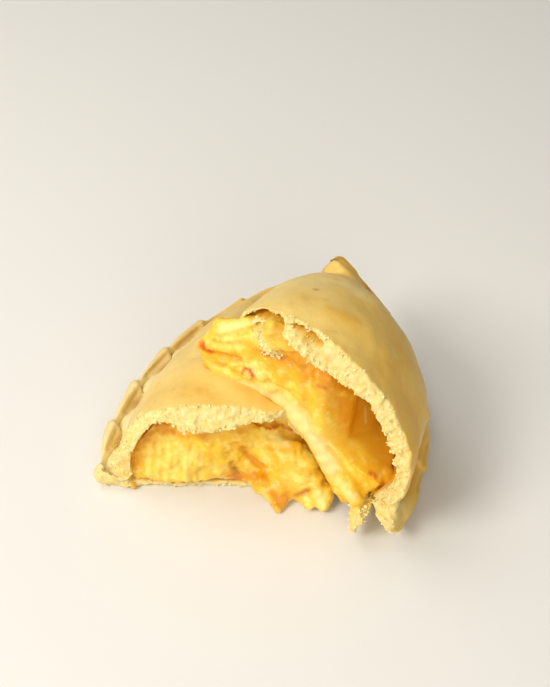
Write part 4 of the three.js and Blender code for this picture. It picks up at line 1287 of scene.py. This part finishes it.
CRUMB_DENSITY = 3.6e6
CRUMB_SHORTEST = 0.00012
CRUMB_LONGEST = 0.00042
CRUMB_TILT = 1.0
CRUMB_ROUGHNESS = 0.00016
CRUMB_GRAIN = {"Scale": 2600.0, "Detail": 1.0}
GRAIN_MIDDLE = (0.5, 0.5, 0.5)
FLAKE_FORM = {"Vertices": 6, "Side Segments": 2, "Radius Top": 0.4, "Radius Bottom": 0.8, "Depth": 1.5}
FLAKE_STRETCH = (1.2, 0.5, 1.0)
CRUMB_PATCHES = (500, 0.35, 0.65)
CRUMB_COLOURS = ((0.88, 0.71, 0.25, 1), (0.94, 0.83, 0.42, 1))
CRUMB_SHADER = {
    "Roughness": 0.75,
    "Subsurface Weight": 0.2, "Subsurface Radius": (1.0, 0.6, 0.25), "Subsurface Scale": 0.0008,
}
CRUMB_INPUTS = {
    "Geometry": "Geometry", "Density": "Float", "Shortest": "Float", "Longest": "Float", "Tilt": "Float",
    "Roughness": "Float", "Seed": "Int", "Finish": "Material",
}


def crumb_tree():
    """Flakes scattered where a surface is ragged, leaning every way, each of an uneven form."""
    tree = bpy.data.node_groups.new("scattered_crumbs", "GeometryNodeTree")
    sockets = {}
    for label, kind in CRUMB_INPUTS.items():
        made = tree.interface.new_socket(label, in_out="INPUT", socket_type="NodeSocket" + kind)
        sockets[label] = made.identifier
    tree.interface.new_socket("Geometry", in_out="OUTPUT", socket_type="NodeSocketGeometry")

    def step(kind, output, inputs=None, **settings):
        return new_node(tree, kind, inputs, **settings).outputs[output]

    start = new_node(tree, "NodeGroupInput").outputs
    torn = step("GeometryNodeInputNamedAttribute", "Attribute", {"Name": "ragged"}, data_type="FLOAT")
    density = step("ShaderNodeMath", 0, {0: torn, 1: start["Density"]}, operation="MULTIPLY")
    spread = new_node(tree, "GeometryNodeDistributePointsOnFaces", {
        "Mesh": start["Geometry"], "Density": density, "Seed": start["Seed"]}).outputs
    size = step("FunctionNodeRandomValue", 1, {
        "Min": start["Shortest"], "Max": start["Longest"], "Seed": start["Seed"]})
    least_tilt = step("ShaderNodeMath", 0, {0: start["Tilt"], 1: -1.0}, operation="MULTIPLY")
    tilt = step("FunctionNodeRandomValue", 0, {0: least_tilt, 1: start["Tilt"]}, data_type="FLOAT_VECTOR")
    turn = step("FunctionNodeRotateRotation", "Rotation", {
        "Rotation": spread["Rotation"], "Rotate By": tilt}, rotation_space="LOCAL")
    flake = step("GeometryNodeMeshCone", "Mesh", FLAKE_FORM)
    long_flake = step("GeometryNodeTransform", "Geometry", {"Geometry": flake, "Scale": FLAKE_STRETCH})
    set_down = step("GeometryNodeInstanceOnPoints", "Instances", {
        "Points": spread["Points"], "Instance": long_flake, "Rotation": turn, "Scale": size})
    real = step("GeometryNodeRealizeInstances", "Geometry", {"Geometry": set_down})
    place = step("GeometryNodeInputPosition", "Position")
    bumps = step("ShaderNodeTexNoise", "Color", {"Vector": place, **CRUMB_GRAIN})
    centred = step("ShaderNodeVectorMath", 0, {0: bumps, 1: GRAIN_MIDDLE}, operation="SUBTRACT")
    push = step("ShaderNodeVectorMath", 0, {0: centred, "Scale": start["Roughness"]}, operation="SCALE")
    uneven = step("GeometryNodeSetPosition", "Geometry", {"Geometry": real, "Offset": push})
    done = step("GeometryNodeSetMaterial", "Geometry", {"Geometry": uneven, "Material": start["Finish"]})
    new_node(tree, "NodeGroupOutput", {"Geometry": done})
    return tree, sockets


def crumbs(name, carrier, seed, finish):
    """Set down the crumbs that stand on a carrier, as a mesh of their own."""
    holder = bpy.data.objects.new(name, carrier.data.copy())
    bpy.context.scene.collection.objects.link(holder)
    scatter = holder.modifiers.new("scatter", "NODES")
    tree, sockets = crumb_tree()
    scatter.node_group = tree
    values = {
        "Density": CRUMB_DENSITY, "Shortest": CRUMB_SHORTEST, "Longest": CRUMB_LONGEST, "Tilt": CRUMB_TILT,
        "Roughness": CRUMB_ROUGHNESS, "Seed": seed, "Finish": finish,
    }
    for label, value in values.items():
        scatter[sockets[label]] = value
    made = bpy.data.meshes.new_from_object(holder.evaluated_get(bpy.context.evaluated_depsgraph_get()))
    made.shade_flat()
    bare = holder.data
    holder.modifiers.clear()
    holder.data = made
    bpy.data.meshes.remove(bare)
    reshape(holder, mesh_points(holder))
    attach(holder, "root")


def crumb_finish(name):
    """Pale inside of the dough, from cream to yellow."""
    p = painter(name)
    p.link(p.blend(p.patchy(*CRUMB_PATCHES), *CRUMB_COLOURS), "Base Color")
    p.settings(CRUMB_SHADER)
    return p.finish


flaky_crumb = crumb_finish("flaky_crumb")
crumbs("lying_crumbs", lying_crust, seed=4, finish=flaky_crumb)
crumbs("leaning_crumbs", leaning_crust, seed=9, finish=flaky_crumb)
crumbs("fallen_crumbs", leaning_filling, seed=5, finish=flaky_crumb)
